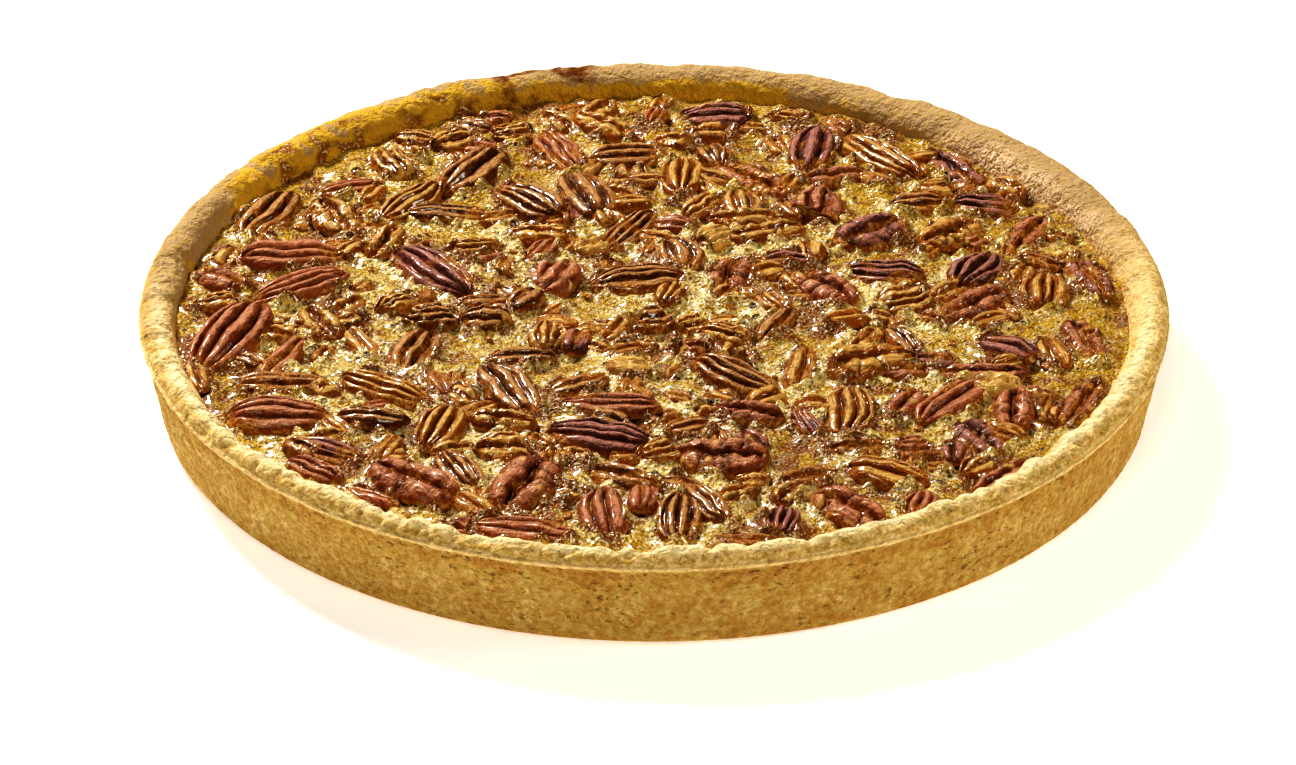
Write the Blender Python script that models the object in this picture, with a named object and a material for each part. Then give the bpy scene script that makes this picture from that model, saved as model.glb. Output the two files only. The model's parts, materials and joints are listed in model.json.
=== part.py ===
"""A whole pecan pie: a sandy shortcrust shell, a baked custard filling and pecan halves half sunk in it.

The pie stands on its flat base. The origin is the centre of the base's underside, +Z is up,
-Y is the front. Lengths are metres; the layout list is in millimetres.
"""

import math
import random
from dataclasses import dataclass

import bmesh
import bpy
from mathutils import Euler, Matrix, Vector, noise

MM = 0.001

# Driving dimensions of the shell
LIP_RADIUS = 0.140
LIP_HEIGHT = 0.0255
LIP_OVERHANG = 0.0014
RIM_HEIGHT = 0.030
RIM_CREST_SHARE = 0.52
BASE_RADIUS = 0.1352
BASE_EDGE_ROUND = 0.0032
FLOOR_THICKNESS = 0.005
FLOOR_TAPER = 0.0032
INNER_RADIUS = 0.1291
INNER_OFFSET = 0.0028
INNER_OFFSET_ANGLE = math.radians(262)
SLOPE_WIDTH = 0.0035
SLOPE_ANGLE = math.radians(48)
SLOPE_SPREAD = math.radians(24)
SHELL_SEGMENTS = 96

# Unevenness of the pressed rim
RIM_WAVE = 0.0009
RIM_WAVE_FREQUENCY = 3.1
RIM_KNOB = 0.0008
RIM_KNOB_FREQUENCY = 9.0
RIM_FRONT_DROP = 0.0008

# Filling
FILLING_LEVEL = 0.0226
FILLING_SEGMENTS = 48
FILLING_RINGS = (0.70, 0.35)
FILLING_RELIEF = 0.0006
FILLING_RELIEF_FREQUENCY = 22.0
GAP = 0.0003

# Pecan halves
PECAN_SEGMENTS = 10
PECAN_RINGS = 5
PECAN_THICKNESS = 0.56
PECAN_BELLY = 0.45
RIDGE_DEPTH = 0.17
FURROW_DEPTH = 0.34
FACE_FLATNESS = 0.82
TILT = math.radians(5)
SINK = 0.46
SINK_SPREAD = 0.07
PECAN_FULLNESS = 0.8
POCKET_CLEARANCE = 0.0004
POCKET_TAPER = 0.12
POCKET_TOP = 0.003

BACK = "back"
FACE = "face"


@dataclass(frozen=True)
class Pecan:
    """One pecan half: its centre in mm, long axis in degrees from +X, size in mm, side up and finish."""

    x: float
    y: float
    heading: float
    length: float
    width: float
    side: str
    finish: str


LAYOUT = (
    # left at the back
    Pecan(-109, 51, 62, 27, 13, BACK, "brown"),
    Pecan(-100, 26, 10, 28, 14, BACK, "red"),
    Pecan(-97, 9, 28, 27, 13, BACK, "red"),
    Pecan(-52, 77, 58, 27, 16, BACK, "brown"),
    Pecan(-27, 90, -68, 26, 12, BACK, "red"),
    Pecan(-8, 87, 15, 21, 13, BACK, "brown"),
    Pecan(-19, 63, -72, 29, 16, BACK, "brown"),
    Pecan(-35, 58, -48, 26, 15, BACK, "brown"),
    Pecan(-69, 58, 55, 25, 12, BACK, "glazed"),
    Pecan(-90, 50, -65, 23, 13, FACE, "glazed"),
    Pecan(-61, 18, -52, 32, 16, BACK, "purple"),
    Pecan(-4, 13, 8, 26, 14, BACK, "brown"),
    Pecan(-7, 42, 58, 24, 10, BACK, "brown"),
    # right at the back
    Pecan(18, 113, -5, 21, 14, BACK, "purple"),
    Pecan(8, 75, 88, 24, 14, BACK, "glazed"),
    Pecan(46, 92, 80, 26, 14, BACK, "purple"),
    Pecan(28, 73, -42, 25, 12, FACE, "red"),
    Pecan(65, 87, -55, 33, 13, BACK, "glazed"),
    Pecan(87, 77, -62, 28, 11, FACE, "purple"),
    Pecan(94, 56, -5, 19, 13, BACK, "purple"),
    Pecan(105, 40, 60, 20, 10, FACE, "red"),
    Pecan(31, 40, 20, 24, 11, FACE, "glazed"),
    Pecan(61, 41, 45, 25, 16, FACE, "purple"),
    Pecan(83, 39, 40, 21, 14, FACE, "glazed"),
    Pecan(64, 17, -12, 21, 12, BACK, "purple"),
    Pecan(89, 18, 62, 21, 14, BACK, "purple"),
    Pecan(107, 7, 85, 20, 14, BACK, "glazed"),
    Pecan(120, 14, -72, 24, 10, FACE, "purple"),
    Pecan(21, 16, 80, 18, 13, FACE, "red"),
    Pecan(48, 6, -50, 19, 14, FACE, "red"),
    Pecan(87, -2, 35, 22, 13, FACE, "red"),
    # left at the front
    Pecan(-114, -20, 68, 33, 18, BACK, "red"),
    Pecan(-98, -44, 0, 24, 11, BACK, "brown"),
    Pecan(-98, -61, -2, 27, 16, BACK, "red"),
    Pecan(-85, -79, -25, 20, 11, BACK, "purple"),
    Pecan(-64, -27, 72, 22, 13, BACK, "brown"),
    Pecan(-38, -48, -62, 27, 14, BACK, "brown"),
    Pecan(-71, -47, -30, 26, 12, BACK, "glazed"),
    Pecan(-12, -56, -6, 27, 11, BACK, "red"),
    Pecan(-14, -73, -16, 27, 14, BACK, "purple"),
    Pecan(-56, -68, 72, 22, 13, BACK, "glazed"),
    Pecan(-61, -96, -35, 27, 16, FACE, "red"),
    Pecan(-33, -97, 65, 24, 16, FACE, "red"),
    Pecan(-33, -118, -16, 26, 12, BACK, "red"),
    Pecan(-13, -110, 95, 23, 12, BACK, "red"),
    # right at the front
    Pecan(22, -41, -38, 28, 13, BACK, "brown"),
    Pecan(57, -33, 20, 24, 16, FACE, "glazed"),
    Pecan(51, -59, 88, 25, 14, BACK, "glazed"),
    Pecan(86, -39, -5, 26, 9, FACE, "red"),
    Pecan(78, -54, 50, 26, 13, BACK, "red"),
    Pecan(95, -26, -35, 18, 11, BACK, "purple"),
    Pecan(116, -22, -72, 22, 10, FACE, "red"),
    Pecan(112, -55, 65, 24, 9, FACE, "red"),
    Pecan(84, -73, -60, 17, 12, FACE, "purple"),
    Pecan(17, -83, -15, 25, 15, FACE, "red"),
    Pecan(60, -91, -20, 21, 13, BACK, "glazed"),
    Pecan(6, -113, 86, 20, 12, BACK, "brown"),
    Pecan(49, -108, -42, 22, 14, FACE, "red"),
)


def clear_scene():
    """Remove every object of the scene."""
    for obj in list(bpy.data.objects):
        bpy.data.objects.remove(obj, do_unlink=True)


def make_material(name, colour, roughness):
    """Return a Principled material that isn't metallic."""
    material = bpy.data.materials.new(name)
    material.use_nodes = True
    shader = material.node_tree.nodes["Principled BSDF"]
    shader.inputs["Base Color"].default_value = (*colour, 1.0)
    shader.inputs["Roughness"].default_value = roughness
    shader.inputs["Metallic"].default_value = 0.0
    return material


def pie_materials():
    """Return the pie's materials by name."""
    return {
        "crust": make_material("crust", (0.66, 0.43, 0.17), 0.85),
        "filling": make_material("filling", (0.52, 0.29, 0.05), 0.35),
        "glazed": make_material("pecan_glazed", (0.44, 0.15, 0.02), 0.25),
        "brown": make_material("pecan_brown", (0.20, 0.06, 0.02), 0.30),
        "red": make_material("pecan_red", (0.24, 0.05, 0.03), 0.45),
        "purple": make_material("pecan_purple", (0.13, 0.035, 0.04), 0.50),
    }


def circle_noise(angle, frequency, channel):
    """Return smooth noise, about -1 to 1, that closes on itself round the pie."""
    point = Vector((math.cos(angle) * frequency, math.sin(angle) * frequency, channel))
    return noise.noise(point)


def slope(angle):
    """Return how far, 0 to 1, the rim's inner face leans in at this angle: most at the back right."""
    turn = math.remainder(angle - SLOPE_ANGLE, math.tau)
    return math.exp(-((turn / SLOPE_SPREAD) ** 2))


def inner_radius(angle):
    """Return the shell's inner radius at the filling's level."""
    offset = INNER_OFFSET * math.cos(angle - INNER_OFFSET_ANGLE)
    wave = RIM_WAVE * circle_noise(angle, RIM_WAVE_FREQUENCY, 7.0)
    return INNER_RADIUS + offset + wave - SLOPE_WIDTH * slope(angle)


def rim_knob(angle):
    """Return the height of the rim's uneven knobs at this angle."""
    return RIM_KNOB * circle_noise(angle, RIM_KNOB_FREQUENCY, 3.0)


def rim_lift(angle):
    """Return how far the crest stands above or below its mean height."""
    wave = RIM_WAVE * circle_noise(angle, RIM_WAVE_FREQUENCY, 1.0)
    return wave + rim_knob(angle) + RIM_FRONT_DROP * math.sin(angle)


def shell_profile(angle):
    """Return the shell's section at this angle as (radius, height), from the base to the inner floor."""
    inner = inner_radius(angle)
    lift = rim_lift(angle)
    crest = RIM_HEIGHT + lift
    band = crest - LIP_HEIGHT
    knob = rim_knob(angle)
    lip = LIP_RADIUS + 0.4 * knob
    wall_top = LIP_RADIUS - LIP_OVERHANG
    crest_radius = inner + RIM_CREST_SHARE * (LIP_RADIUS - inner)
    return (
        (BASE_RADIUS - BASE_EDGE_ROUND, 0.0),
        (BASE_RADIUS - 0.25 * BASE_EDGE_ROUND, 0.3 * BASE_EDGE_ROUND),
        (BASE_RADIUS + 0.1 * BASE_EDGE_ROUND, BASE_EDGE_ROUND),
        (wall_top, LIP_HEIGHT - LIP_OVERHANG),
        (lip, LIP_HEIGHT),
        (lip - 0.15 * band + 0.5 * knob, LIP_HEIGHT + 0.5 * band),
        (0.5 * (lip + crest_radius), crest - 0.15 * band),
        (crest_radius, crest),
        (0.6 * crest_radius + 0.4 * inner, crest - 0.2 * band),
        (0.2 * crest_radius + 0.8 * inner, 0.5 * (crest + FILLING_LEVEL)),
        (inner, FILLING_LEVEL),
        (inner - FLOOR_TAPER, FLOOR_THICKNESS),
    )


def turned(bm, sections, segments):
    """Skin a closed run of sections round the Z axis and cap its first and last rings."""
    rings = []
    for index in range(segments):
        angle = math.tau * index / segments
        direction = Vector((math.cos(angle), math.sin(angle), 0.0))
        rings.append([bm.verts.new(direction * r + Vector((0, 0, z))) for r, z in sections(angle)])
    for index, ring in enumerate(rings):
        after = rings[(index + 1) % segments]
        for k in range(len(ring) - 1):
            bm.faces.new((ring[k], after[k], after[k + 1], ring[k + 1]))
    first = bm.faces.new([ring[0] for ring in rings])
    last = bm.faces.new([ring[-1] for ring in rings])
    bmesh.ops.recalc_face_normals(bm, faces=bm.faces)
    return first, last


def finish_object(name, bm, material, sharp_angle=math.radians(50)):
    """Turn a bmesh into a smooth-shaded object and return it."""
    mesh = bpy.data.meshes.new(name)
    bm.to_mesh(mesh)
    bm.free()
    mesh.shade_smooth()
    mesh.set_sharp_from_angle(angle=sharp_angle)
    if material:
        mesh.materials.append(material)
    obj = bpy.data.objects.new(name, mesh)
    bpy.context.scene.collection.objects.link(obj)
    return obj


def make_crust(material):
    """Build the shortcrust shell: flat base, tapered wall, overhanging lip and uneven pressed rim."""
    bm = bmesh.new()
    turned(bm, shell_profile, SHELL_SEGMENTS)
    return finish_object("crust", bm, material)


def filling_profile(angle):
    """Return the filling's section at this angle, from its underside to its innermost ring."""
    radius = inner_radius(angle) - GAP
    rings = [(radius * share, FILLING_LEVEL) for share in FILLING_RINGS]
    return ((radius - FLOOR_TAPER, FLOOR_THICKNESS + GAP), (radius, FILLING_LEVEL), *rings)


def filling_relief(vert):
    """Return how far the baked surface rises or falls here."""
    place = Vector((vert.co.x, vert.co.y, 0.0)) * FILLING_RELIEF_FREQUENCY
    return FILLING_RELIEF * noise.noise(place)


def make_filling(material, pocket_cutter):
    """Build the filling as one solid with a pocket under each pecan."""
    bm = bmesh.new()
    _, middle = turned(bm, filling_profile, FILLING_SEGMENTS)
    bmesh.ops.poke(bm, faces=[middle])
    for vert in bm.verts:
        if vert.co.z > 0.5 * FILLING_LEVEL:
            vert.co.z += filling_relief(vert)
    filling = finish_object("filling", bm, material)
    pockets = filling.modifiers.new("pockets", "BOOLEAN")
    pockets.operation = "DIFFERENCE"
    pockets.solver = "EXACT"
    pockets.use_self = True
    pockets.object = pocket_cutter
    return filling


def pecan_radius(across, side):
    """Return a pecan's section radius, 0 to 1, at this angle about its long axis."""
    if math.sin(across) < 0.05:
        return 1.0
    wave = math.cos(PECAN_SEGMENTS / 2 * (across - math.pi / 2))
    if side == BACK:
        return 1.0 - RIDGE_DEPTH * (1.0 - wave) / 2
    return FACE_FLATNESS - FURROW_DEPTH * wave * max(math.sin(across), 0.0) ** 2 / 2


def shape_pecan(bm, pecan):
    """Make a pecan half about the origin, its long axis along X and its shown side up."""
    bmesh.ops.create_uvsphere(bm, u_segments=PECAN_SEGMENTS, v_segments=PECAN_RINGS, radius=1.0)
    half_length = pecan.length * MM / 2
    half_width = pecan.width * MM / 2
    top = PECAN_THICKNESS * pecan.width * MM * (1.0 - PECAN_BELLY)
    belly = PECAN_THICKNESS * pecan.width * MM * PECAN_BELLY
    turn = math.pi / 2 - math.pi / PECAN_SEGMENTS * (PECAN_SEGMENTS // 2 % 2)
    for vert in bm.verts:
        along = vert.co.z
        ring = math.sqrt(max(0.0, 1.0 - along * along)) ** PECAN_FULLNESS
        across = math.atan2(vert.co.y, vert.co.x) + turn - math.pi / 2
        radius = ring * pecan_radius(across, pecan.side)
        height = math.sin(across)
        vert.co.x = along * half_length
        vert.co.y = radius * math.cos(across) * half_width
        vert.co.z = radius * height * (top if height > 0 else belly)


def pecan_matrix(index, pecan):
    """Return where a pecan lies: its heading, a small seeded tilt and how deep it is sunk."""
    seeded = random.Random(index)
    pitch = seeded.uniform(-TILT, TILT)
    roll = seeded.uniform(-TILT, TILT)
    sink = SINK + seeded.uniform(-SINK_SPREAD, SINK_SPREAD)
    thickness = PECAN_THICKNESS * pecan.width * MM
    height = FILLING_LEVEL + thickness * (PECAN_BELLY - sink)
    turn = Euler((roll, pitch, math.radians(pecan.heading)), "XYZ")
    return Matrix.LocRotScale(Vector((pecan.x * MM, pecan.y * MM, height)), turn, None)


def make_pecan(index, pecan, material):
    """Build one pecan half and place it."""
    bm = bmesh.new()
    shape_pecan(bm, pecan)
    obj = finish_object(f"pecan_{pecan.side}_{index:02d}", bm, material)
    obj.matrix_world = pecan_matrix(index, pecan)
    return obj


def pocket_outline(pecan):
    """Return the outline, in the pecan's own plane, of the pocket that it sits in."""
    half_length = pecan.length * MM / 2 + POCKET_CLEARANCE
    half_width = pecan.width * MM / 2 + POCKET_CLEARANCE
    outline = []
    for index in range(2 * PECAN_RINGS):
        turn = math.pi * index / PECAN_RINGS
        reach = abs(math.sin(turn)) ** PECAN_FULLNESS
        outline.append((math.cos(turn) * half_length, math.copysign(reach, math.sin(turn)) * half_width))
    return outline


def add_pocket(bm, index, pecan):
    """Add one tapered pocket, from under the pecan's belly to above the filling."""
    place = pecan_matrix(index, pecan)
    belly = PECAN_THICKNESS * pecan.width * MM * PECAN_BELLY
    bottom = -belly - POCKET_CLEARANCE
    rings = []
    for height in (bottom, POCKET_TOP):
        scale = 1.0 - POCKET_TAPER * height / bottom
        points = [Vector((x * scale, y * scale, height)) for x, y in pocket_outline(pecan)]
        rings.append([bm.verts.new(place @ point) for point in points])
    lower, upper = rings
    count = len(lower)
    for k in range(count):
        bm.faces.new((lower[k], lower[(k + 1) % count], upper[(k + 1) % count], upper[k]))
    bm.faces.new(lower[::-1])
    bm.faces.new(upper)


def make_pocket_cutter():
    """Build one hidden cutter that holds a tapered pocket for every pecan."""
    bm = bmesh.new()
    for index, pecan in enumerate(LAYOUT, start=1):
        add_pocket(bm, index, pecan)
    cutter = finish_object("pocket_cutter", bm, None)
    cutter.hide_render = True
    cutter.display_type = "WIRE"
    return cutter


def main():
    """Build the pie."""
    clear_scene()
    materials = pie_materials()
    make_crust(materials["crust"])
    make_filling(materials["filling"], make_pocket_cutter())
    for index, pecan in enumerate(LAYOUT, start=1):
        make_pecan(index, pecan, materials[pecan.finish])


main()
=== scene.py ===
"""The looks of a whole pecan pie: a sandy crust, a foamy baked filling and glazed pecan halves.

Everything is in metres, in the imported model's frame: +Z is up, -Y is the front, and the origin
is the centre of the crust's flat underside.
"""

import json
import logging
import math
import random
from dataclasses import dataclass, field
from enum import Enum

import bmesh
import bpy
import numpy as np
from mathutils import Matrix, Vector, noise


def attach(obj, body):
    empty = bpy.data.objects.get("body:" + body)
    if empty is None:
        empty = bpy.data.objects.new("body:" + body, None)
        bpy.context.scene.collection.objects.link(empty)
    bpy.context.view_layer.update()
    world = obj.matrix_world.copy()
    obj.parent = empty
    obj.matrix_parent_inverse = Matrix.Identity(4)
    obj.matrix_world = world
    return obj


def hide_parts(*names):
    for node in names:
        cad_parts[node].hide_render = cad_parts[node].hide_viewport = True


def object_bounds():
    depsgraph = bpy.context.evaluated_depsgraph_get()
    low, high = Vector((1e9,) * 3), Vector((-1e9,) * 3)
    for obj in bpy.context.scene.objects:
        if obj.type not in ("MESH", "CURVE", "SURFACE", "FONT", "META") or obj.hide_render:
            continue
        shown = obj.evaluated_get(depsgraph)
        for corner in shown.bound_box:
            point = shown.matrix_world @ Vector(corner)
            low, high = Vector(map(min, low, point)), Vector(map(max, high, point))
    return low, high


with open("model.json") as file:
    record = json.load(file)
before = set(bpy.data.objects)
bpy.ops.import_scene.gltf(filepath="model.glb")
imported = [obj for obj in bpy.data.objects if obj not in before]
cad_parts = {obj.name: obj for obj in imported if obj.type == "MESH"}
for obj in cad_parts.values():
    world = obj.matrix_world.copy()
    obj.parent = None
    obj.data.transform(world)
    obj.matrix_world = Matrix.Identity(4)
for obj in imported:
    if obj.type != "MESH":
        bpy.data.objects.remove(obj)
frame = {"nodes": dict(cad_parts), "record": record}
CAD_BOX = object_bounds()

LOG = logging.getLogger("pecan_pie")
MM = 0.001
BODY = "root"
CHANNELS_APART = 17.3
NEAR_A_NUT = 25 * MM

Array = np.ndarray
Colour = tuple[float, float, float]
Material = bpy.types.Material
Mesh = bpy.types.Mesh
Node = bpy.types.Node
NodeTree = bpy.types.NodeTree
Piece = bpy.types.Object
Socket = bpy.types.NodeSocket
WARM: Colour = (1.0, 0.95, 0.78)


def srgb(red: int, green: int, blue: int) -> Colour:
    """Return the linear colour of an 8-bit display colour.

    Args:
        red: Red from 0 to 255.
        green: Green from 0 to 255.
        blue: Blue from 0 to 255.

    Returns:
        The linear red, green and blue.
    """
    shares = [value / 255 for value in (red, green, blue)]
    linear = [s / 12.92 if s <= 0.04045 else ((s + 0.055) / 1.055) ** 2.4 for s in shares]
    return (linear[0], linear[1], linear[2])


def noise_at(points: Array, size: float, channel: float = 0.0) -> Array:
    """Return smooth noise, about -1 to 1, at each point.

    Args:
        points: An n by 3 array of places in metres.
        size: How far apart the noise's features are, in metres.
        channel: Picks an independent pattern.

    Returns:
        One value for each point.
    """
    scaled = (points / size + CHANNELS_APART * channel).tolist()
    return np.fromiter(map(noise.noise, scaled), float, len(scaled))


def smooth_step(low: float, high: float, value: Array) -> Array:
    """Return 0 below low, 1 above high and a smooth ramp between them."""
    share = np.clip((value - low) / (high - low), 0.0, 1.0)
    return share * share * (3.0 - 2.0 * share)


def read(rows: object, key: str, width: int = 3) -> Array:
    """Read one property of every row of a mesh's collection.

    Args:
        rows: The collection, such as a mesh's vertices.
        key: The property's name.
        width: How many numbers it holds.

    Returns:
        An array with a row for each row of the collection.
    """
    flat = np.empty(len(rows) * width, np.float32)
    rows.foreach_get(key, flat)
    return flat.reshape(-1, width).astype(float)


def coordinates(mesh: Mesh) -> Array:
    """Return a mesh's vertex places as an n by 3 array."""
    return read(mesh.vertices, "co")


def set_coordinates(mesh: Mesh, points: Array) -> None:
    """Move a mesh's vertices to the given places."""
    mesh.vertices.foreach_set("co", points.astype(np.float32).ravel())
    mesh.update()


def set_mask(mesh: Mesh, name: str, values: Array) -> None:
    """Store one number for each vertex as a named attribute, clipped to 0 to 1."""
    layer = mesh.attributes.new(name, "FLOAT", "POINT")
    layer.data.foreach_set("value", np.clip(values, 0.0, 1.0).astype(np.float32))


def set_strands(mesh: Mesh, places: Array) -> None:
    """Store two numbers for each vertex as the mesh's own UV map.

    Args:
        mesh: The mesh.
        places: Where each vertex lies along and across its nut, in metres.
    """
    layer = mesh.uv_layers.new(name="strand")
    corners = np.empty(len(mesh.loops), np.int32)
    mesh.loops.foreach_get("vertex_index", corners)
    layer.data.foreach_set("uv", places[corners].astype(np.float32).ravel())


def mesh_from(bm: bmesh.types.BMesh, name: str) -> Mesh:
    """Turn a bmesh into a named mesh and free it.

    Args:
        bm: The finished bmesh.
        name: The mesh's name.

    Returns:
        The mesh.
    """
    mesh = bpy.data.meshes.new(name)
    bm.to_mesh(mesh)
    bm.free()
    return mesh


def close_shell(bm: bmesh.types.BMesh) -> None:
    """Fill what is open in a shell and turn its faces outwards."""
    bmesh.ops.holes_fill(bm, edges=[edge for edge in bm.edges if edge.is_boundary], sides=0)
    bmesh.ops.recalc_face_normals(bm, faces=bm.faces[:])


def add_object(name: str, mesh: Mesh) -> Piece:
    """Link a mesh to the scene as an object with smooth shading.

    Args:
        name: The object's name.
        mesh: Its mesh.

    Returns:
        The object.
    """
    mesh.shade_smooth()
    piece = bpy.data.objects.new(name, mesh)
    bpy.context.scene.collection.objects.link(piece)
    return piece


def point_at(thing: Piece, aim: Vector, towards: Vector, distance: float) -> None:
    """Stand a lamp or camera away from a place, turn it to face the place and link it.

    Args:
        thing: The lamp or camera.
        aim: The place that it faces.
        towards: The direction from that place to it.
        distance: How far away it stands.
    """
    thing.location = aim + towards * distance
    thing.rotation_euler = (-towards).to_track_quat("-Z", "Y").to_euler()
    bpy.context.scene.collection.objects.link(thing)


class Tree:
    """Adds and joins the nodes of one material or shader group."""

    def __init__(self, tree: NodeTree) -> None:
        """Keep the node tree that is being built."""
        self.tree = tree

    def add(self, kind: str, **settings: object) -> Node:
        """Add a node.

        Args:
            kind: The shader node type without its prefix.
            settings: Properties of the node, or its inputs by name with spaces as underscores.

        Returns:
            The new node.
        """
        node = self.tree.nodes.new(f"ShaderNode{kind}")
        for key, value in settings.items():
            if hasattr(node, key):
                setattr(node, key, value)
            else:
                self.feed(node.inputs[key.replace("_", " ")], value)
        return node

    def feed(self, socket: Socket, value: object) -> None:
        """Link a source into a socket, or set the socket's number or colour.

        Args:
            socket: The input.
            value: Another node's output, a number, a vector or a colour.
        """
        if isinstance(value, bpy.types.NodeSocket):
            self.tree.links.new(value, socket)
        elif isinstance(value, tuple) and len(value) == 3 and socket.type == "RGBA":
            socket.default_value = (*value, 1.0)
        else:
            socket.default_value = value

    def math(self, operation: str, *values: object, clamp: bool = False) -> Socket:
        """Add a Math node.

        Args:
            operation: The node's operation.
            values: Its numbers or sources.
            clamp: Whether the result is kept between 0 and 1.

        Returns:
            The result.
        """
        node = self.add("Math", operation=operation, use_clamp=clamp)
        for socket, value in zip(node.inputs, values):
            self.feed(socket, value)
        return node.outputs[0]

    def times(self, first: object, second: object) -> Socket:
        """Return the product of two numbers."""
        return self.math("MULTIPLY", first, second)

    def scaled(self, value: object, factor: object, added: object, clamp: bool = False) -> Socket:
        """Return value times factor plus added."""
        return self.math("MULTIPLY_ADD", value, factor, added, clamp=clamp)

    def less(self, first: object, second: object) -> Socket:
        """Return first less second, kept between 0 and 1."""
        return self.math("SUBTRACT", first, second, clamp=True)

    def stretched(self, vector: object, by: tuple[float, float, float]) -> Socket:
        """Return a vector whose three numbers are each multiplied by their own factor.

        Args:
            vector: The vector's source.
            by: The three factors.

        Returns:
            The stretched vector.
        """
        node = self.add("VectorMath", operation="MULTIPLY")
        self.feed(node.inputs[0], vector)
        node.inputs[1].default_value = by
        return node.outputs["Vector"]

    def ramp(self, value: object, low: float, high: float) -> Socket:
        """Return 0 to 1 as a value goes from low to high, smoothly and clamped.

        Args:
            value: The value's source.
            low: Where the result is 0.
            high: Where the result is 1.

        Returns:
            The result.
        """
        node = self.add("MapRange", interpolation_type="SMOOTHSTEP", Value=value)
        node.inputs["From Min"].default_value = low
        node.inputs["From Max"].default_value = high
        return node.outputs["Result"]

    def mix(self, share: object, first: object, second: object) -> Socket:
        """Mix one colour into another.

        Args:
            share: How much of the second colour shows, 0 to 1.
            first: The colour where share is 0.
            second: The colour where share is 1.

        Returns:
            The mixed colour.
        """
        node = self.add("Mix", data_type="RGBA", blend_type="MIX")
        for number, value in ((0, share), (6, first), (7, second)):
            self.feed(node.inputs[number], value)
        return node.outputs[2]

    def noise(self, place: object, size: float, detail: float = 2.0) -> Socket:
        """Return noise, about 0.2 to 0.8, with features of the given size in metres."""
        node = self.add("TexNoise", Vector=place, Scale=1.0 / size, Detail=detail)
        return node.outputs["Fac"]

    def mask(self, name: str) -> Socket:
        """Return the value of a mesh's named attribute."""
        return self.add("Attribute", attribute_name=name).outputs["Fac"]

    def bump(self, shader: Node, height: object, distance: float) -> None:
        """Feed a height into a shader's normal."""
        bump = self.add("Bump", Height=height, Distance=distance, Strength=1.0)
        self.feed(shader.inputs["Normal"], bump.outputs["Normal"])


class ShaderGroups:
    """The shader effects that more than one of the pie's materials use."""

    def __init__(self) -> None:
        """Build the groups once."""
        self.grain = self.build_grain()
        self.pores = self.build_pores()

    @staticmethod
    def new_group(name: str, inputs: dict[str, float], outputs: tuple[str, ...]) -> tuple:
        """Make an empty shader group.

        Args:
            name: The group's name.
            inputs: Each number input with its starting value; a Vector input is added to them.
            outputs: The names of the number outputs.

        Returns:
            The group, its Tree, its input node's outputs and its output node's inputs.
        """
        group = bpy.data.node_groups.new(name, "ShaderNodeTree")
        group.interface.new_socket("Vector", in_out="INPUT", socket_type="NodeSocketVector")
        for key, value in inputs.items():
            socket = group.interface.new_socket(key, in_out="INPUT", socket_type="NodeSocketFloat")
            socket.default_value = value
        for key in outputs:
            group.interface.new_socket(key, in_out="OUTPUT", socket_type="NodeSocketFloat")
        start = group.nodes.new("NodeGroupInput").outputs
        return group, Tree(group), start, group.nodes.new("NodeGroupOutput").inputs

    def build_grain(self) -> NodeTree:
        """Build the group for fine crumb or skin: a height and a speckle at two sizes.

        Returns:
            The group.
        """
        group, tree, start, end = self.new_group(
            "fine_grain", {"Coarse": 700.0, "Fine": 1800.0}, ("Height", "Speckle")
        )
        coarse = tree.add("TexNoise", Vector=start["Vector"], Scale=start["Coarse"], Detail=3.0)
        fine = tree.add("TexNoise", Vector=start["Vector"], Scale=start["Fine"], Detail=2.0)
        height = tree.scaled(fine.outputs["Fac"], 0.5, coarse.outputs["Fac"])
        tree.feed(end["Height"], height)
        tree.feed(end["Speckle"], tree.ramp(height, 0.55, 0.95))
        return group

    def build_pores(self) -> NodeTree:
        """Build the group for open pores: 1 in a pore, and 1 in the thin rim round it.

        Returns:
            The group.
        """
        group, tree, start, end = self.new_group(
            "open_pores", {"Scale": 300.0, "Radius": 0.2, "Share": 0.4}, ("Pore", "Rim")
        )
        cells = tree.add("TexVoronoi", Vector=start["Vector"], Scale=start["Scale"])
        pick = tree.add("SeparateColor", Color=cells.outputs["Color"])
        kept = tree.math("LESS_THAN", pick.outputs["Red"], start["Share"])
        size = tree.times(start["Radius"], tree.math("ADD", pick.outputs["Green"], 0.4))
        discs = []
        for reach in (size, tree.times(size, 1.7)):
            inside = tree.less(1.0, tree.math("DIVIDE", cells.outputs["Distance"], reach))
            discs.append(tree.times(tree.ramp(inside, 0.0, 0.35), kept))
        tree.feed(end["Pore"], discs[0])
        tree.feed(end["Rim"], tree.less(discs[1], discs[0]))
        return group

    @staticmethod
    def place(tree: Tree, group: NodeTree, vector: object, **values: float) -> Node:
        """Put a group into a material with its own values.

        Args:
            tree: The material's tree.
            group: The group.
            vector: The source of its Vector input.
            values: Its number inputs by name.

        Returns:
            The group's node.
        """
        node = tree.add("Group", node_tree=group)
        tree.feed(node.inputs["Vector"], vector)
        for key, value in values.items():
            tree.feed(node.inputs[key], value)
        return node


def new_material(name: str) -> tuple[Material, Tree, Node, Socket]:
    """Start a Principled material.

    Args:
        name: The material's name.

    Returns:
        The material, its Tree, its Principled node and the object coordinates.
    """
    material = bpy.data.materials.new(name)
    material.use_nodes = True
    tree = Tree(material.node_tree)
    shader = material.node_tree.nodes["Principled BSDF"]
    place = tree.add("TexCoord").outputs["Object"]
    return material, tree, shader, place


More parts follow.
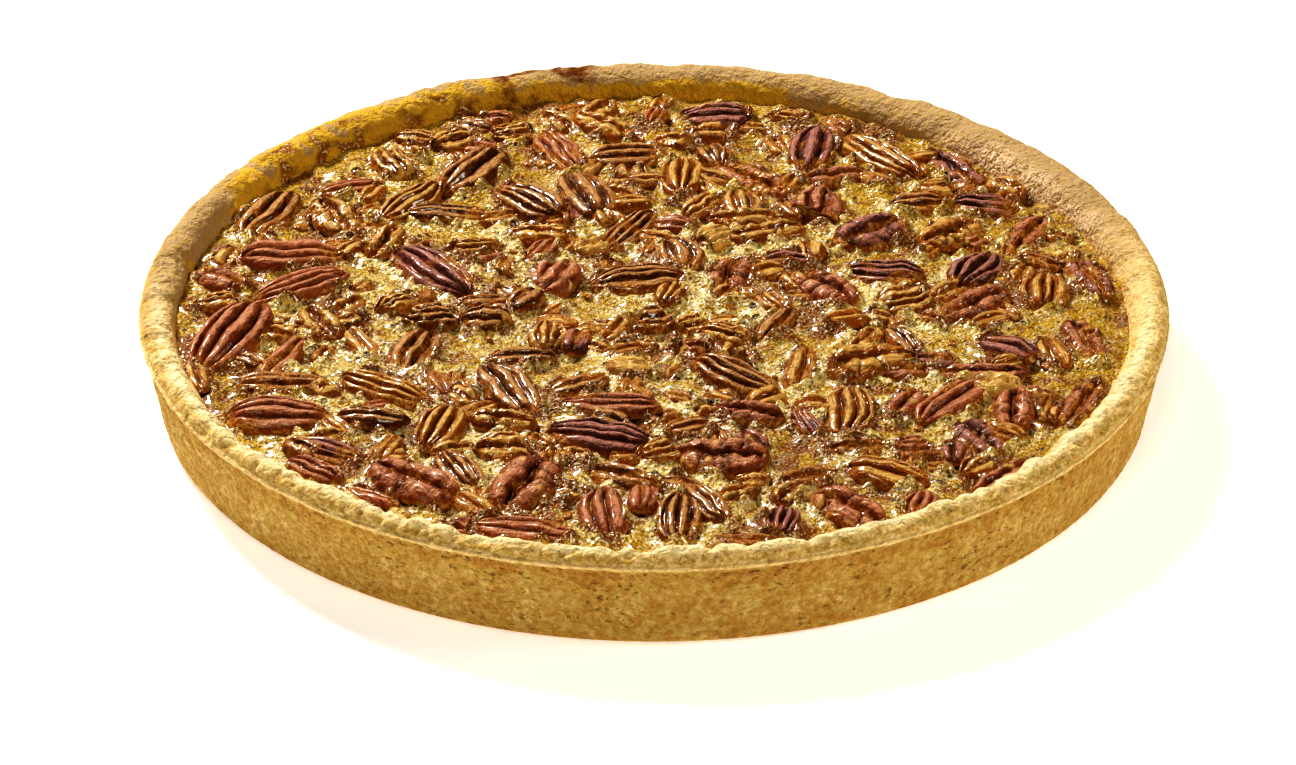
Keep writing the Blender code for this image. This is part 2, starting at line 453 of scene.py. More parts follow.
@dataclass(frozen=True)
class CrustFinish:
    """Baked shortcrust: pale sandy rim, golden wall, amber where syrup soaked in."""

    # Painted highlight: the cream colour lightens the front rim's crest as if the key light fell on
    # it.
    cream: Colour = srgb(255, 244, 204)
    pale: Colour = srgb(255, 224, 164)
    golden: Colour = srgb(216, 184, 108)
    olive: Colour = srgb(206, 160, 82)
    baked: Colour = srgb(192, 140, 68)
    pore: Colour = srgb(142, 90, 32)
    tan: Colour = srgb(202, 172, 130)
    syrup: Colour = srgb(232, 190, 72)
    amber: Colour = srgb(162, 106, 16)
    burnt: Colour = srgb(130, 74, 24)
    sugar: Colour = srgb(250, 224, 188)
    dry: float = 0.86
    shine: float = 0.42
    relief: float = 0.8 * MM

    def build(self, groups: ShaderGroups) -> Material:
        """Build the crust's material.

        Args:
            groups: The shared shader groups.

        Returns:
            The material.
        """
        material, tree, shader, place = new_material("baked_shortcrust")
        grain = groups.place(tree, groups.grain, place, Coarse=560.0, Fine=1500.0).outputs
        pores = groups.place(tree, groups.pores, place, Scale=420.0, Radius=0.24, Share=0.10)
        # The bake mask holds real browning and also painted shade: the rim's creases, the rim's
        # lower band and the band under the lip.
        bake, soak, sugared = tree.mask("bake"), tree.mask("soak"), tree.mask("sugar")
        drift = tree.noise(place, 7 * MM, 5.0)
        toward = tree.scaled(drift, 0.45, tree.scaled(grain["Speckle"], 0.45, -0.45))
        toward = tree.math("ADD", bake, toward)
        spread = tree.ramp(tree.noise(place, 2.6 * MM, 4.0), 0.38, 0.75)
        gold = tree.mix(spread, self.golden, self.olive)
        dull = tree.ramp(tree.scaled(drift, 0.8, tree.mask("dull")), 0.3, 1.3)
        sandy = tree.mix(dull, self.pale, self.tan)
        # The cream mask paints a highlight on the front rim's crest.
        sandy = tree.mix(tree.mask("cream"), sandy, self.cream)
        colour = tree.mix(tree.ramp(toward, -0.1, 0.5), sandy, gold)
        colour = tree.mix(tree.ramp(toward, 0.45, 1.0), colour, self.baked)
        mottle = tree.ramp(tree.noise(place, 1.7 * MM, 5.0), 0.50, 0.72)
        mottle = tree.times(mottle, tree.scaled(bake, 0.75, 0.1, clamp=True))
        colour = tree.mix(mottle, colour, self.baked)
        pit = self.pits(tree, place, pores)
        colour = tree.mix(tree.times(pit, 0.6), colour, self.pore)
        syrup = tree.mix(tree.ramp(soak, 0.45, 0.9), self.syrup, self.amber)
        colour = tree.mix(tree.ramp(soak, 0.0, 0.35), colour, syrup)
        # Painted glints: pale sugar-coloured specks on the soaked crust stand in for the sparkle of
        # its glaze.
        specks_and_painted_glints = tree.ramp(tree.noise(place, 0.9 * MM, 3.0), 0.52, 0.64)
        specks_and_painted_glints = tree.times(specks_and_painted_glints, tree.ramp(soak, 0.55, 0.9))
        colour = tree.mix(specks_and_painted_glints, colour, self.sugar)
        char = tree.scaled(tree.noise(place, 2 * MM, 4.0), 0.9, tree.mask("char"))
        colour = tree.mix(tree.ramp(char, 0.6, 1.4), colour, self.burnt)
        crystals = tree.ramp(tree.noise(place, 0.8 * MM, 2.0), 0.36, 0.56)
        caramel = tree.mix(crystals, self.baked, self.sugar)
        tree.feed(shader.inputs["Base Color"], tree.mix(sugared, colour, caramel))
        wet = tree.math("MAXIMUM", soak, tree.times(sugared, 0.6))
        tree.feed(shader.inputs["Roughness"], tree.scaled(wet, -self.shine, self.dry))
        shader.inputs["Specular IOR Level"].default_value = 0.25
        height = tree.scaled(pit, -0.8, grain["Height"])
        height = tree.scaled(tree.noise(place, 1.4 * MM, 3.0), 1.2, height)
        tree.bump(shader, height, self.relief)
        return material

    @staticmethod
    def pits(tree: Tree, place: Socket, pores: Node) -> Socket:
        """Return where the crust is open: long cracks on the wall and round pores everywhere.

        Args:
            tree: The material's tree.
            place: The object coordinates.
            pores: The node of the shared pores.

        Returns:
            1 in a crack or pore and 0 elsewhere.
        """
        flat = tree.add(
            "Mapping", Vector=place, Scale=(0.62, 0.62, 1.25), Rotation=(0.25, 0.2, 0.0)
        )
        crack = tree.ramp(tree.noise(flat.outputs["Vector"], 1.3 * MM, 2.0), 0.63, 0.69)
        crack = tree.times(crack, tree.mask("pit"))
        return tree.math("MAXIMUM", crack, tree.times(pores.outputs["Pore"], 0.7))


@dataclass(frozen=True)
class FillingFinish:
    """Baked sugar custard: pale foam, olive-yellow syrup and amber skin, full of small bubbles."""

    foam: Colour = srgb(254, 231, 162)
    yellow: Colour = srgb(210, 168, 28)
    amber: Colour = srgb(156, 92, 0)
    shade: Colour = srgb(112, 70, 0)
    brown: Colour = srgb(84, 40, 2)
    # Painted glints: the near-white colour of specks on the foam.
    painted_glint_colour: Colour = srgb(255, 250, 234)
    gloss: Colour = (1.0, 0.86, 0.6)
    bubble: float = 1.3 * MM
    relief: float = 1.1 * MM

    def build(self, groups: ShaderGroups) -> Material:
        """Build the filling's material.

        Args:
            groups: The shared shader groups.

        Returns:
            The material.
        """
        material, tree, shader, place = new_material("baked_custard")
        froth = groups.place(tree, groups.grain, place, Coarse=900.0, Fine=2000.0).outputs
        fine = groups.place(tree, groups.pores, place, Scale=480.0, Radius=0.26, Share=0.22)
        holes = groups.place(tree, groups.pores, place, Scale=150.0, Radius=0.19, Share=0.24)
        patch = tree.noise(place, 5 * MM, 4.0)
        skin = tree.scaled(patch, 2.6, -1.25)
        skin = tree.math("ADD", tree.mask("skin"), skin, clamp=True)
        frost = tree.scaled(patch, -1.2, 0.42)
        frost = tree.math("ADD", tree.mask("frost"), frost, clamp=True)
        body = tree.mix(tree.ramp(skin, 0.25, 0.75), self.yellow, self.amber)
        cells = tree.add("TexVoronoi", Vector=place, Scale=1.0 / self.bubble)
        bubble = cells.outputs["Distance"]
        dome = tree.math("SUBTRACT", 1.0, tree.ramp(bubble, 0.1, 0.75))
        # Painted shade: the crevices between the foam's bubbles are darkened towards the shade
        # colour.
        deep = tree.scaled(dome, -0.12, froth["Height"])
        deep = tree.math("SUBTRACT", 1.0, tree.ramp(deep, 0.54, 0.76))
        colour = tree.mix(tree.times(deep, 0.6), body, self.shade)
        lace = tree.times(tree.ramp(bubble, 0.35, 0.6), 0.65)
        lace = tree.ramp(tree.scaled(froth["Speckle"], 0.4, lace), 0.15, 0.8)
        pale = tree.times(lace, tree.ramp(frost, 0.2, 0.7))
        colour = tree.mix(tree.times(pale, 0.85), colour, self.foam)
        pit = tree.math("MAXIMUM", fine.outputs["Pore"], holes.outputs["Pore"])
        colour = tree.mix(tree.times(pit, 0.92), colour, self.brown)
        rim = tree.math("MAXIMUM", fine.outputs["Rim"], holes.outputs["Rim"])
        colour = tree.mix(tree.times(rim, 0.5), colour, self.foam)
        # Painted glints: fine near-white specks, mostly where the foam is frosted.
        painted_glints = tree.ramp(tree.noise(place, 0.7 * MM, 2.0), 0.54, 0.60)
        painted_glints = tree.times(painted_glints, tree.scaled(frost, 1.0, 0.38, clamp=True))
        colour = tree.mix(tree.times(painted_glints, 0.9), colour, self.painted_glint_colour)
        tree.feed(shader.inputs["Base Color"], colour)
        shader.inputs["Roughness"].default_value = 0.28
        shader.inputs["Specular IOR Level"].default_value = 0.5
        shader.inputs["Specular Tint"].default_value = (*self.gloss, 1.0)
        glint = tree.ramp(tree.noise(place, 1.0 * MM, 3.0), 0.40, 0.49)
        tree.feed(shader.inputs["Coat Weight"], tree.less(glint, pit))
        shader.inputs["Coat Roughness"].default_value = 0.13
        height = tree.scaled(dome, 0.22, tree.noise(place, 1.0 * MM, 2.5))
        height = tree.scaled(pit, -0.9, tree.scaled(rim, 0.3, height))
        tree.bump(shader, height, self.relief)
        return material


@dataclass(frozen=True)
class PecanFinish:
    """One look of pecan skin, from dry red-brown to orange under thick glaze."""

    slot: str
    ridge: Colour
    tint: Colour
    # Grooves: partly the skin's own dark folds, partly painted shade in the furrows.
    groove: Colour
    # Crest: a painted highlight along the ridge tops.
    crest: Colour
    film: Colour = srgb(170, 98, 0)
    froth: Colour = srgb(240, 204, 130)
    flesh: Colour = srgb(236, 196, 120)
    gloss: Colour = (1.0, 0.8, 0.45)
    glaze: float = 0.5
    roughness: float = 0.4
    satin: float = 0.36
    grit: float = 0.6
    relief: float = 0.65 * MM

    def build(self, groups: ShaderGroups) -> Material:
        """Build this look's material.

        Args:
            groups: The shared shader groups.

        Returns:
            The material.
        """
        material, tree, shader, place = new_material(f"{self.slot}_skin")
        skin = groups.place(tree, groups.grain, place, Coarse=850.0, Fine=2100.0).outputs
        soak = tree.mask("soak")
        drift = tree.noise(place, 5 * MM, 4.0)
        lit = tree.ramp(tree.scaled(tree.mask("tone"), 0.5, drift), 0.4, 1.0)
        colour = tree.mix(lit, self.ridge, self.tint)
        colour = tree.mix(tree.times(skin["Speckle"], self.grit), colour, self.tint)
        # Painted highlight: the crest mask lightens the ridge tops as if light fell on them.
        painted_crest_highlight = tree.scaled(tree.mask("crest"), 0.7, tree.noise(place, 2.2 * MM, 3.0))
        painted_crest_highlight = tree.times(tree.ramp(painted_crest_highlight, 0.62, 1.1), 0.75)
        colour = tree.mix(painted_crest_highlight, colour, self.crest)
        strand = tree.add("UVMap", uv_map="strand").outputs["UV"]
        strand = tree.stretched(strand, (0.3, 1.5, 1.0))
        streak = tree.noise(strand, 1.0 * MM, 3.0)
        furrow = tree.math("SUBTRACT", 1.0, tree.ramp(streak, 0.34, 0.52))
        colour = tree.mix(tree.times(furrow, 0.45), colour, self.groove)
        # Dark grooves: partly the skin's own folds, partly painted shade in the furrows.
        colour = tree.mix(tree.times(tree.mask("groove"), 0.92), colour, self.groove)
        colour = tree.mix(tree.mask("bare"), colour, self.flesh)
        sticky = tree.ramp(tree.scaled(soak, 0.6, drift), 0.55, 0.9)
        sticky = tree.times(sticky, tree.times(soak, 0.85))
        colour = tree.mix(sticky, colour, self.film)
        # Pale flecks: real froth flecks where syrup wets the nut, and dots that are painted glints
        # on the glazed skin.
        specks_and_painted_glints = tree.times(tree.ramp(skin["Speckle"], 0.35, 0.8), tree.ramp(soak, 0.55, 1.0))
        painted_glint_dots = tree.ramp(tree.noise(place, 0.55 * MM, 1.0), 0.64, 0.70)
        painted_glint_dots = tree.times(tree.times(painted_glint_dots, self.glaze), tree.ramp(drift, 0.4, 0.6))
        specks_and_painted_glints = tree.times(tree.math("MAXIMUM", specks_and_painted_glints, painted_glint_dots), 0.5)
        tree.feed(shader.inputs["Base Color"], tree.mix(specks_and_painted_glints, colour, self.froth))
        creases = tree.noise(tree.stretched(strand, (5.0, 0.35, 1.0)), 0.9 * MM, 2.0)
        wet = tree.scaled(tree.noise(place, 4 * MM, 3.0), 1.2, self.glaze - 0.75)
        wet = tree.ramp(tree.scaled(soak, 0.5, wet), 0.1, 0.6)
        glint = tree.times(tree.noise(place, 1.6 * MM, 3.0), 0.5)
        glint = tree.ramp(tree.scaled(creases, 0.5, glint), 0.38, 0.54)
        film = tree.times(tree.times(wet, glint), self.glaze)
        tree.feed(shader.inputs["Coat Weight"], film)
        shader.inputs["Coat Roughness"].default_value = self.roughness
        shader.inputs["Specular Tint"].default_value = (*self.gloss, 1.0)
        shader.inputs["Roughness"].default_value = self.satin
        shader.inputs["Specular IOR Level"].default_value = 0.3
        wrinkles = tree.scaled(creases, 1.6 * self.grit, streak)
        height = tree.scaled(skin["Height"], self.grit, wrinkles)
        tree.bump(shader, height, self.relief)
        return material


WET_SKIN = {"glaze": 1.0, "roughness": 0.13, "satin": 0.30, "grit": 0.35}
DRY_SKIN = {"glaze": 0.5, "roughness": 0.2, "satin": 0.42, "grit": 0.6}


class Look(Enum):
    """The finishes of pecan skin: ridge, lit tint, colour of the grooves (partly painted shade) and
    painted highlight on the crest of each.
    """

    GLAZED = PecanFinish(
        "pecan_glazed", srgb(132, 66, 0), srgb(180, 106, 0), srgb(40, 18, 0),
        srgb(252, 212, 136), **WET_SKIN,
    )
    BROWN = PecanFinish(
        "pecan_brown", srgb(94, 40, 0), srgb(134, 72, 4), srgb(24, 8, 0),
        srgb(238, 186, 128), **WET_SKIN,
    )
    RED = PecanFinish(
        "pecan_red", srgb(122, 54, 24), srgb(178, 104, 64), srgb(36, 10, 2),
        srgb(232, 172, 138), **DRY_SKIN,
    )
    PURPLE = PecanFinish(
        "pecan_purple", srgb(78, 30, 26), srgb(124, 68, 58), srgb(24, 7, 4),
        srgb(220, 160, 146), **DRY_SKIN,
    )


class Side(Enum):
    """The shapes of pecan that lie in the pie."""

    BACK = "back"
    FACE = "face"
    CHUNK = "chunk"


@dataclass(frozen=True)
class Nut:
    """One pecan: its middle and long axis, its size in metres, the shape it shows and its look."""

    centre: Vector
    along: Vector
    up: Vector
    length: float
    width: float
    top: float
    belly: float
    side: Side
    look: Look
    seed: int
    pale: float = 0.0

    def turn(self) -> Array:
        """Return the nut's turn: its long axis as local X and its shown side as local Z."""
        across = self.up.cross(self.along).normalized()
        return np.array(Matrix((self.along, across, self.up)).transposed())


def distance_to(points: Array, nuts: list[Nut]) -> Array:
    """Return each point's distance to the nearest nut's outline, below 0 inside one.

    Args:
        points: An n by 3 array of places.
        nuts: The nuts.

    Returns:
        One distance in metres for each point, at most 1.
    """
    nearest = np.full(len(points), 1.0)
    for nut in nuts:
        turn = math.atan2(nut.along.y, nut.along.x)
        dx, dy = points[:, 0] - nut.centre.x, points[:, 1] - nut.centre.y
        near = np.flatnonzero((np.abs(dx) < NEAR_A_NUT) & (np.abs(dy) < NEAR_A_NUT))
        x = dx[near] * math.cos(turn) + dy[near] * math.sin(turn)
        y = dy[near] * math.cos(turn) - dx[near] * math.sin(turn)
        reach = np.maximum(np.hypot(x / (nut.length / 2), y / (nut.width / 2)), 0.05)
        nearest[near] = np.minimum(nearest[near], (1.0 - 1.0 / reach) * np.hypot(x, y))
    return nearest


@dataclass(frozen=True)
class Morsel:
    """A smaller nut or broken piece: middle in mm, heading in degrees, size in mm and look."""

    x: float
    y: float
    heading: float
    length: float
    width: float
    side: Side
    look: Look


BACK, FACE, CHUNK = Side.BACK, Side.FACE, Side.CHUNK
GLAZED, BROWN, RED, PURPLE = Look.GLAZED, Look.BROWN, Look.RED, Look.PURPLE
MORSELS = [Morsel(*row) for row in (
    (-58, 51, 0, 24, 9, BACK, BROWN), (-75, 34, 70, 20, 9, FACE, GLAZED),
    (-50, 32, 10, 18, 10, CHUNK, GLAZED), (-32, 39, -15, 20, 9, CHUNK, GLAZED),
    (-27, 14, 60, 20, 14, CHUNK, RED), (-87, 67, 15, 18, 8, BACK, RED),
    (-119, 13, -35, 18, 11, FACE, RED), (-118, -1, 20, 16, 10, CHUNK, GLAZED),
    (-15, 105, -35, 22, 11, FACE, GLAZED), (-41, 102, 20, 14, 10, CHUNK, GLAZED),
    (-46, 111, 0, 12, 8, CHUNK, RED), (-58, 95, 30, 16, 11, CHUNK, GLAZED),
    (-74, 80, -60, 22, 12, CHUNK, GLAZED), (0, 112, 80, 13, 8, BACK, RED),
    (17, 102, 0, 12, 9, CHUNK, GLAZED), (25, 58, 100, 16, 13, BACK, GLAZED),
    (14, 56, 50, 16, 9, CHUNK, GLAZED), (52, 75, 15, 19, 9, FACE, RED),
    (75, 58, 5, 17, 11, BACK, BROWN), (47, 56, 80, 20, 15, CHUNK, RED),
    (25, 48, 5, 20, 9, FACE, GLAZED), (107, 24, -20, 13, 8, BACK, BROWN),
    (37, 25, 0, 14, 9, BACK, PURPLE), (7, 27, -75, 18, 14, BACK, BROWN),
    (69, 2, 20, 18, 16, CHUNK, GLAZED), (7, 96, -10, 13, 9, CHUNK, GLAZED),
    (40, 113, -20, 14, 8, CHUNK, GLAZED), (-70, -1, 40, 14, 10, CHUNK, GLAZED),
    (-99, -31, 62, 22, 8, BACK, RED), (-87, -89, -38, 18, 11, BACK, RED),
    (-90, -13, -60, 20, 11, FACE, GLAZED), (-79, -22, -60, 22, 8, BACK, GLAZED),
    (-61, -9, 5, 18, 12, CHUNK, BROWN), (-45, 1, 3, 18, 6, BACK, BROWN),
    (-45, -11, 0, 14, 12, CHUNK, BROWN), (-28, -20, 90, 16, 11, CHUNK, GLAZED),
    (-1, -10, 10, 18, 13, CHUNK, BROWN), (10, -14, 30, 15, 9, CHUNK, GLAZED),
    (20, -19, -20, 16, 10, CHUNK, GLAZED), (11, -26, 0, 14, 9, CHUNK, RED),
    (33, -12, 60, 18, 8, BACK, BROWN), (-35, -30, 3, 18, 7, BACK, BROWN),
    (-57, -43, -70, 14, 6, BACK, RED), (-20, -44, 22, 18, 9, BACK, BROWN),
    (-39, -65, -15, 18, 10, FACE, GLAZED), (-73, -63, -15, 20, 9, BACK, BROWN),
    (-50, -90, -60, 20, 11, BACK, BROWN), (-38, -79, 0, 15, 12, CHUNK, GLAZED),
    (-90, -80, -40, 14, 9, CHUNK, BROWN), (-49, -115, -20, 12, 7, CHUNK, RED),
    (-72, -101, -35, 18, 6, BACK, RED), (-121, -41, -75, 18, 7, BACK, GLAZED),
    (-8, -92, -30, 23, 10, FACE, BROWN), (39, -36, 80, 22, 9, BACK, GLAZED),
    (57, -20, 60, 16, 8, FACE, GLAZED), (67, -22, -65, 16, 8, BACK, BROWN),
    (66, -55, 62, 18, 9, FACE, RED), (107, -27, -75, 18, 9, BACK, GLAZED),
    (94, -59, 85, 20, 11, FACE, RED), (104, -62, 60, 14, 9, CHUNK, GLAZED),
    (53, -77, 10, 18, 8, FACE, BROWN), (67, -78, 0, 13, 11, CHUNK, RED),
    (77, -80, 90, 10, 8, BACK, PURPLE), (9, -67, 20, 14, 8, BACK, BROWN),
    (25, -61, -10, 18, 10, FACE, RED), (39.5, -65, -70, 14, 7, BACK, PURPLE),
    (2, -80, 30, 14, 11, CHUNK, GLAZED), (38, -93, 20, 14, 9, FACE, BROWN),
    (13, -105, -62, 22, 10, BACK, BROWN), (32, -114, 80, 15, 10, BACK, PURPLE),
    (67, -107, 78, 14, 10, BACK, RED), (89, -93, 45, 22, 8, FACE, RED),
    (24, -123, 0, 20, 6, BACK, PURPLE), (83, -88, 40, 12, 9, CHUNK, GLAZED),
    (26, -94, 0, 12, 9, CHUNK, GLAZED),
)]


@dataclass
class PecanShape:
    """Shapes pecan halves and broken pieces from a closed ball of rings round the long axis."""

    top_share: float = 0.72
    taper: float = 2.5
    fullness: float = 0.50
    lean: float = 0.16
    slender: float = 9.5 * MM
    thin: float = 7.0 * MM
    groove_depth: float = 0.66
    groove_width: float = 0.17
    crest_width: float = 0.45
    finger: float = 0.09
    finger_round: float = 2.4
    finger_full: float = 0.6
    finger_bow: float = 0.14
    finger_bend: float = 0.2
    finger_wander: float = 0.06
    lip_place: float = 0.55
    lip_width: float = 0.26
    lip_rise: float = 0.22
    furrow: float = 0.62
    furrow_width: float = 0.17
    furrow_wander: float = 0.12
    furrow_wall: float = 0.34
    furrow_wall_width: float = 0.045
    cuts: int = 9
    cut_width: float = 0.038
    cut_depth: tuple[float, float] = (0.14, 0.34)
    wrinkle: float = 0.15 * MM
    dent: float = 0.5 * MM
    fold: float = 0.9 * MM
    sway: float = 0.7 * MM
    lumpy: float = 1.2 * MM
    splash: float = 2.6 * MM

    @staticmethod
    def balls(name: str, count: int, segments: int, rings: int) -> Mesh:
        """Return one mesh that holds a number of unit balls, one after another.

        Args:
            name: The mesh's name.
            count: How many balls it holds.
            segments: The faces round each ball.
            rings: The rows of faces along each ball.

        Returns:
            The mesh.
        """
        ball = bmesh.new()
        bmesh.ops.create_uvsphere(ball, u_segments=segments, v_segments=rings, radius=1.0)
        one = mesh_from(ball, f"{name}_ball")
        bm = bmesh.new()
        for _ in range(count):
            bm.from_mesh(one)
        bpy.data.meshes.remove(one)
        return mesh_from(bm, name)

    def around(self, unit: Array) -> tuple[Array, Array, Array]:
        """Return where each point of a ball lies on a nut.

        Args:
            unit: Places on the unit ball, whose Z becomes the long axis.

        Returns:
            The place along the nut and across it, both -1 to 1, and whether it is on the shown
            side.
        """
        polar = np.arccos(np.clip(unit[:, 2], -1.0, 1.0))
        along = 0.5 * np.cos(polar) + 0.5 * (1.0 - 2.0 * polar / math.pi)
        angle = np.mod(np.arctan2(unit[:, 1], unit[:, 0]), math.tau)
        split = math.tau * self.top_share
        upper = angle < split
        under = 1.0 + (angle - split) / (math.tau - split)
        turn = np.where(upper, angle / split, under) * math.pi
        spread = 0.55 * np.cos(turn) + 0.45 * (1.0 - 2.0 * turn / math.pi)
        return along, np.where(upper, spread, np.cos(turn)), upper

    def outline(self, s: Array, drawn: random.Random) -> Array:
        """Return the half-width, 0 to 1, along a nut that is blunter at one end."""
        lean = drawn.uniform(-self.lean, self.lean)
        return np.maximum(1.0 - np.abs(s) ** self.taper, 0.0) ** self.fullness * (1.0 - lean * s)

    @staticmethod
    def dome(u: Array) -> Array:
        """Return a half circle's height across a nut."""
        return np.sqrt(np.maximum(1.0 - u * u, 0.0))

    @staticmethod
    def line(s: Array) -> Array:
        """Return places along a straight line, for noise that changes along a nut."""
        return np.stack([s, np.zeros_like(s), np.zeros_like(s)], axis=1)

    def back(self, nut: Nut, s: Array, u: Array, drawn: random.Random) -> tuple:
        """Shape the rounded side as fingers side by side, with deep furrows between.

        Args:
            nut: The nut being shaped.
            s: Place along the nut, -1 to 1.
            u: Place across it, -1 to 1.
            drawn: The nut's own random numbers.

        Returns:
            The height as a share of the dome, the mask of the grooves, whose darkness is partly
            painted shade, the crest mask, which paints a highlight, and each finger's shift along
            the nut.
        """
        if nut.width < self.thin:
            lobes = 2
        else:
            lobes = drawn.choice((2, 3) if nut.width < self.slender else (3, 4, 4))
        line = self.line(s * 1.5)
        bend = drawn.uniform(-self.finger_bend, self.finger_bend)
        paths = [np.full_like(s, -1.001)]
        for k in range(1, lobes):
            middle = -1.0 + 2.0 * k / lobes + drawn.uniform(-0.1, 0.1)
            wander = self.finger_wander * noise_at(line, 1.0, nut.seed + 3.7 * k)
            bow = middle * (1.0 - self.finger_bow * s * s)
            paths.append(bow + bend * (1.0 - s * s) + wander)
        paths.append(np.full_like(s, 1.001))
        dome = self.dome(u)
        height = 0.92 * dome
        groove, crest, shift = np.zeros_like(s), np.zeros_like(s), np.zeros_like(s)
        for k, (left, right) in enumerate(zip(paths, paths[1:])):
            inside = (u >= left) & (u < right)
            q = np.clip((2.0 * u - left - right) / np.maximum(right - left, 0.05), -1.0, 1.0)
            tube = np.maximum(1.0 - np.abs(q) ** self.finger_round, 0.0) ** self.finger_full
            middle = np.abs(left + right) / 2
            tall = drawn.uniform(0.88, 1.08) * (1.0 - 0.30 * middle**2)
            tall *= 1.0 + 0.18 * noise_at(line * 1.4, 1.0, nut.seed + 2.3 * k)
            tall *= 1.0 + 0.05 * noise_at(line * 4.0, 1.0, nut.seed + 1.3 * k)
            reach = drawn.uniform(-1.0, 0.8)
            depth = self.groove_depth * drawn.uniform(0.85, 1.1)
            ridged = dome**0.7 * (1.0 - depth) + depth * tube * tall * dome**0.35
            height = np.where(inside, ridged, height)
            inner = np.where(q < 0, k > 0, k < lobes - 1)
            slot = np.exp(-(((1.0 - np.abs(q)) / self.groove_width) ** 1.5)) * inner
            groove = np.where(inside, slot, groove)
            crest = np.where(inside, np.exp(-((q / self.crest_width) ** 2)), crest)
            shift = np.where(inside, tube * reach, shift)
        return height, groove, crest, shift * np.abs(s) ** 3 * np.sign(s) * self.finger

    def face(self, nut: Nut, s: Array, u: Array, drawn: random.Random) -> tuple:
        """Shape the flat side: two thick folded lips round a furrow with a thin wall in it.

        Args:
            nut: The nut being shaped.
            s: Place along the nut, -1 to 1.
            u: Place across it, -1 to 1.
            drawn: The nut's own random numbers.

        Returns:
            The height as a share of the dome, the mask of the grooves, whose darkness is partly
            painted shade, the crest mask, which paints a highlight on the lips, and no shift.
        """
        line = self.line(s * 2.3)
        path = self.furrow_wander * noise_at(line, 1.0, nut.seed + 1.9)
        wide = self.furrow_width * (1.0 + 0.8 * noise_at(line * 1.9, 1.0, nut.seed + 4.1))
        off = np.abs(u - path)
        lips = np.exp(-(((np.abs(u) - self.lip_place) / self.lip_width) ** 2))
        height = self.dome(u) ** 0.6 * (1.0 - self.lip_rise + self.lip_rise * lips)
        channel = np.exp(-((off / wide) ** 4)) * smooth_step(1.0, 0.7, np.abs(s))
        wall = np.exp(-((off / self.furrow_wall_width) ** 2))
        wall *= smooth_step(0.75, 0.4, np.abs(s))
        height -= channel * (self.furrow - self.furrow_wall * wall)
        groove = channel * (1.0 - 0.8 * wall)
        for _ in range(self.cuts):
            cut = drawn.uniform(-0.85, 0.85)
            half = drawn.choice((-1.0, 1.0))
            lean = drawn.uniform(-0.35, 0.35)
            near = np.exp(-np.abs(s - cut - lean * u) / self.cut_width)
            near *= smooth_step(0.02, 0.3, half * u)
            height -= drawn.uniform(*self.cut_depth) * near
            groove = np.maximum(groove, 0.8 * near**1.5)
        return height, groove, lips * (1.0 - groove), np.zeros_like(s)

    def shape(self, unit: Array, nut: Nut, level: float) -> tuple[Array, dict[str, Array], Array]:
        """Turn one ball's points into a nut.

        Args:
            unit: The ball's points.
            nut: The nut to shape.
            level: The height of the filling round it.

        Returns:
            The nut's points in place, its masks by name, and where each point lies along and
            across it in metres.
        """
        drawn = random.Random(nut.seed)
        s, u, upper = self.around(unit)
        w = self.outline(s, drawn)
        form = self.face if nut.side is Side.FACE else self.back
        share, groove, crest, shift = form(nut, s, u, drawn)
        across = u * w * nut.width / 2
        sink = -nut.belly * w * self.dome(u)
        rise = np.where(upper, nut.top * w**0.75 * share, sink)
        local = np.stack([(s + shift) * nut.length / 2, across, rise], axis=1)
        local += self.relief(nut, local, w, upper)
        broken = np.zeros_like(s)
        if nut.side is Side.CHUNK:
            local, broken = self.snap(nut, local, drawn)
        placed = local @ nut.turn().T + np.array(nut.centre)
        splash = self.splash * noise_at(placed, 5 * MM, nut.seed + 2)
        wetted = smooth_step(level + 0.6 * MM, level + 3.2 * MM, placed[:, 2] - splash)
        patch = noise_at(placed, 3 * MM, nut.seed)
        scar = smooth_step(0.5, 0.62, patch) * (nut.side is not Side.BACK)
        bare = np.maximum(0.8 * scar, broken * smooth_step(-0.5, 0.1, patch))
        masks = {
            # Partly painted shade in the grooves.
            "groove": np.where(upper, groove, 0.0),
            # Painted highlight along the ridge tops.
            "crest": np.where(upper, crest * smooth_step(1.0, 0.6, np.abs(s)), 0.0),
            "soak": 1.0 - wetted,
            "tone": np.full(len(s), drawn.random()),
            "bare": bare + nut.pale * (0.8 + patch),
        }
        strand = np.stack([s * nut.length / 2 + 0.037 * nut.seed, across], axis=1)
        return placed, masks, strand

    @staticmethod
    def snap(nut: Nut, local: Array, drawn: random.Random) -> tuple[Array, Array]:
        """Break one or two ends off a nut, each along a rough tilted plane.

        Args:
            nut: The nut being shaped.
            local: Its points about its own middle.
            drawn: The nut's own random numbers.

        Returns:
            The moved points, and how much of the break's pale flesh shows at each.
        """
        moved = local.copy()
        flesh = np.zeros(len(local))
        for end in ((1.0, -1.0) if drawn.random() < 0.5 else (1.0,)):
            tilt = Vector((end, drawn.uniform(-0.7, 0.7), drawn.uniform(-0.1, 0.7)))
            across = np.array(tilt.normalized())
            plane = nut.length * drawn.uniform(0.18, 0.34)
            rough = 0.9 * MM * noise_at(moved, 3.0 * MM, nut.seed + 51)
            over = np.maximum(moved @ across - plane - rough, 0.0)
            moved -= over[:, None] * across
            flesh = np.maximum(flesh, smooth_step(0.0, 0.5 * MM, over))
        return moved, flesh

    def relief(self, nut: Nut, local: Array, w: Array, upper: Array) -> Array:
        """Return the wrinkles, folds and dents that a nut's skin adds.

        Args:
            nut: The nut being shaped.
            local: Its points about its own middle, before the relief.
            w: The outline's half-width at each point.
            upper: Whether a point lies on the shown side.

        Returns:
            How far each point moves.
        """
        scale = nut.width / (12 * MM)

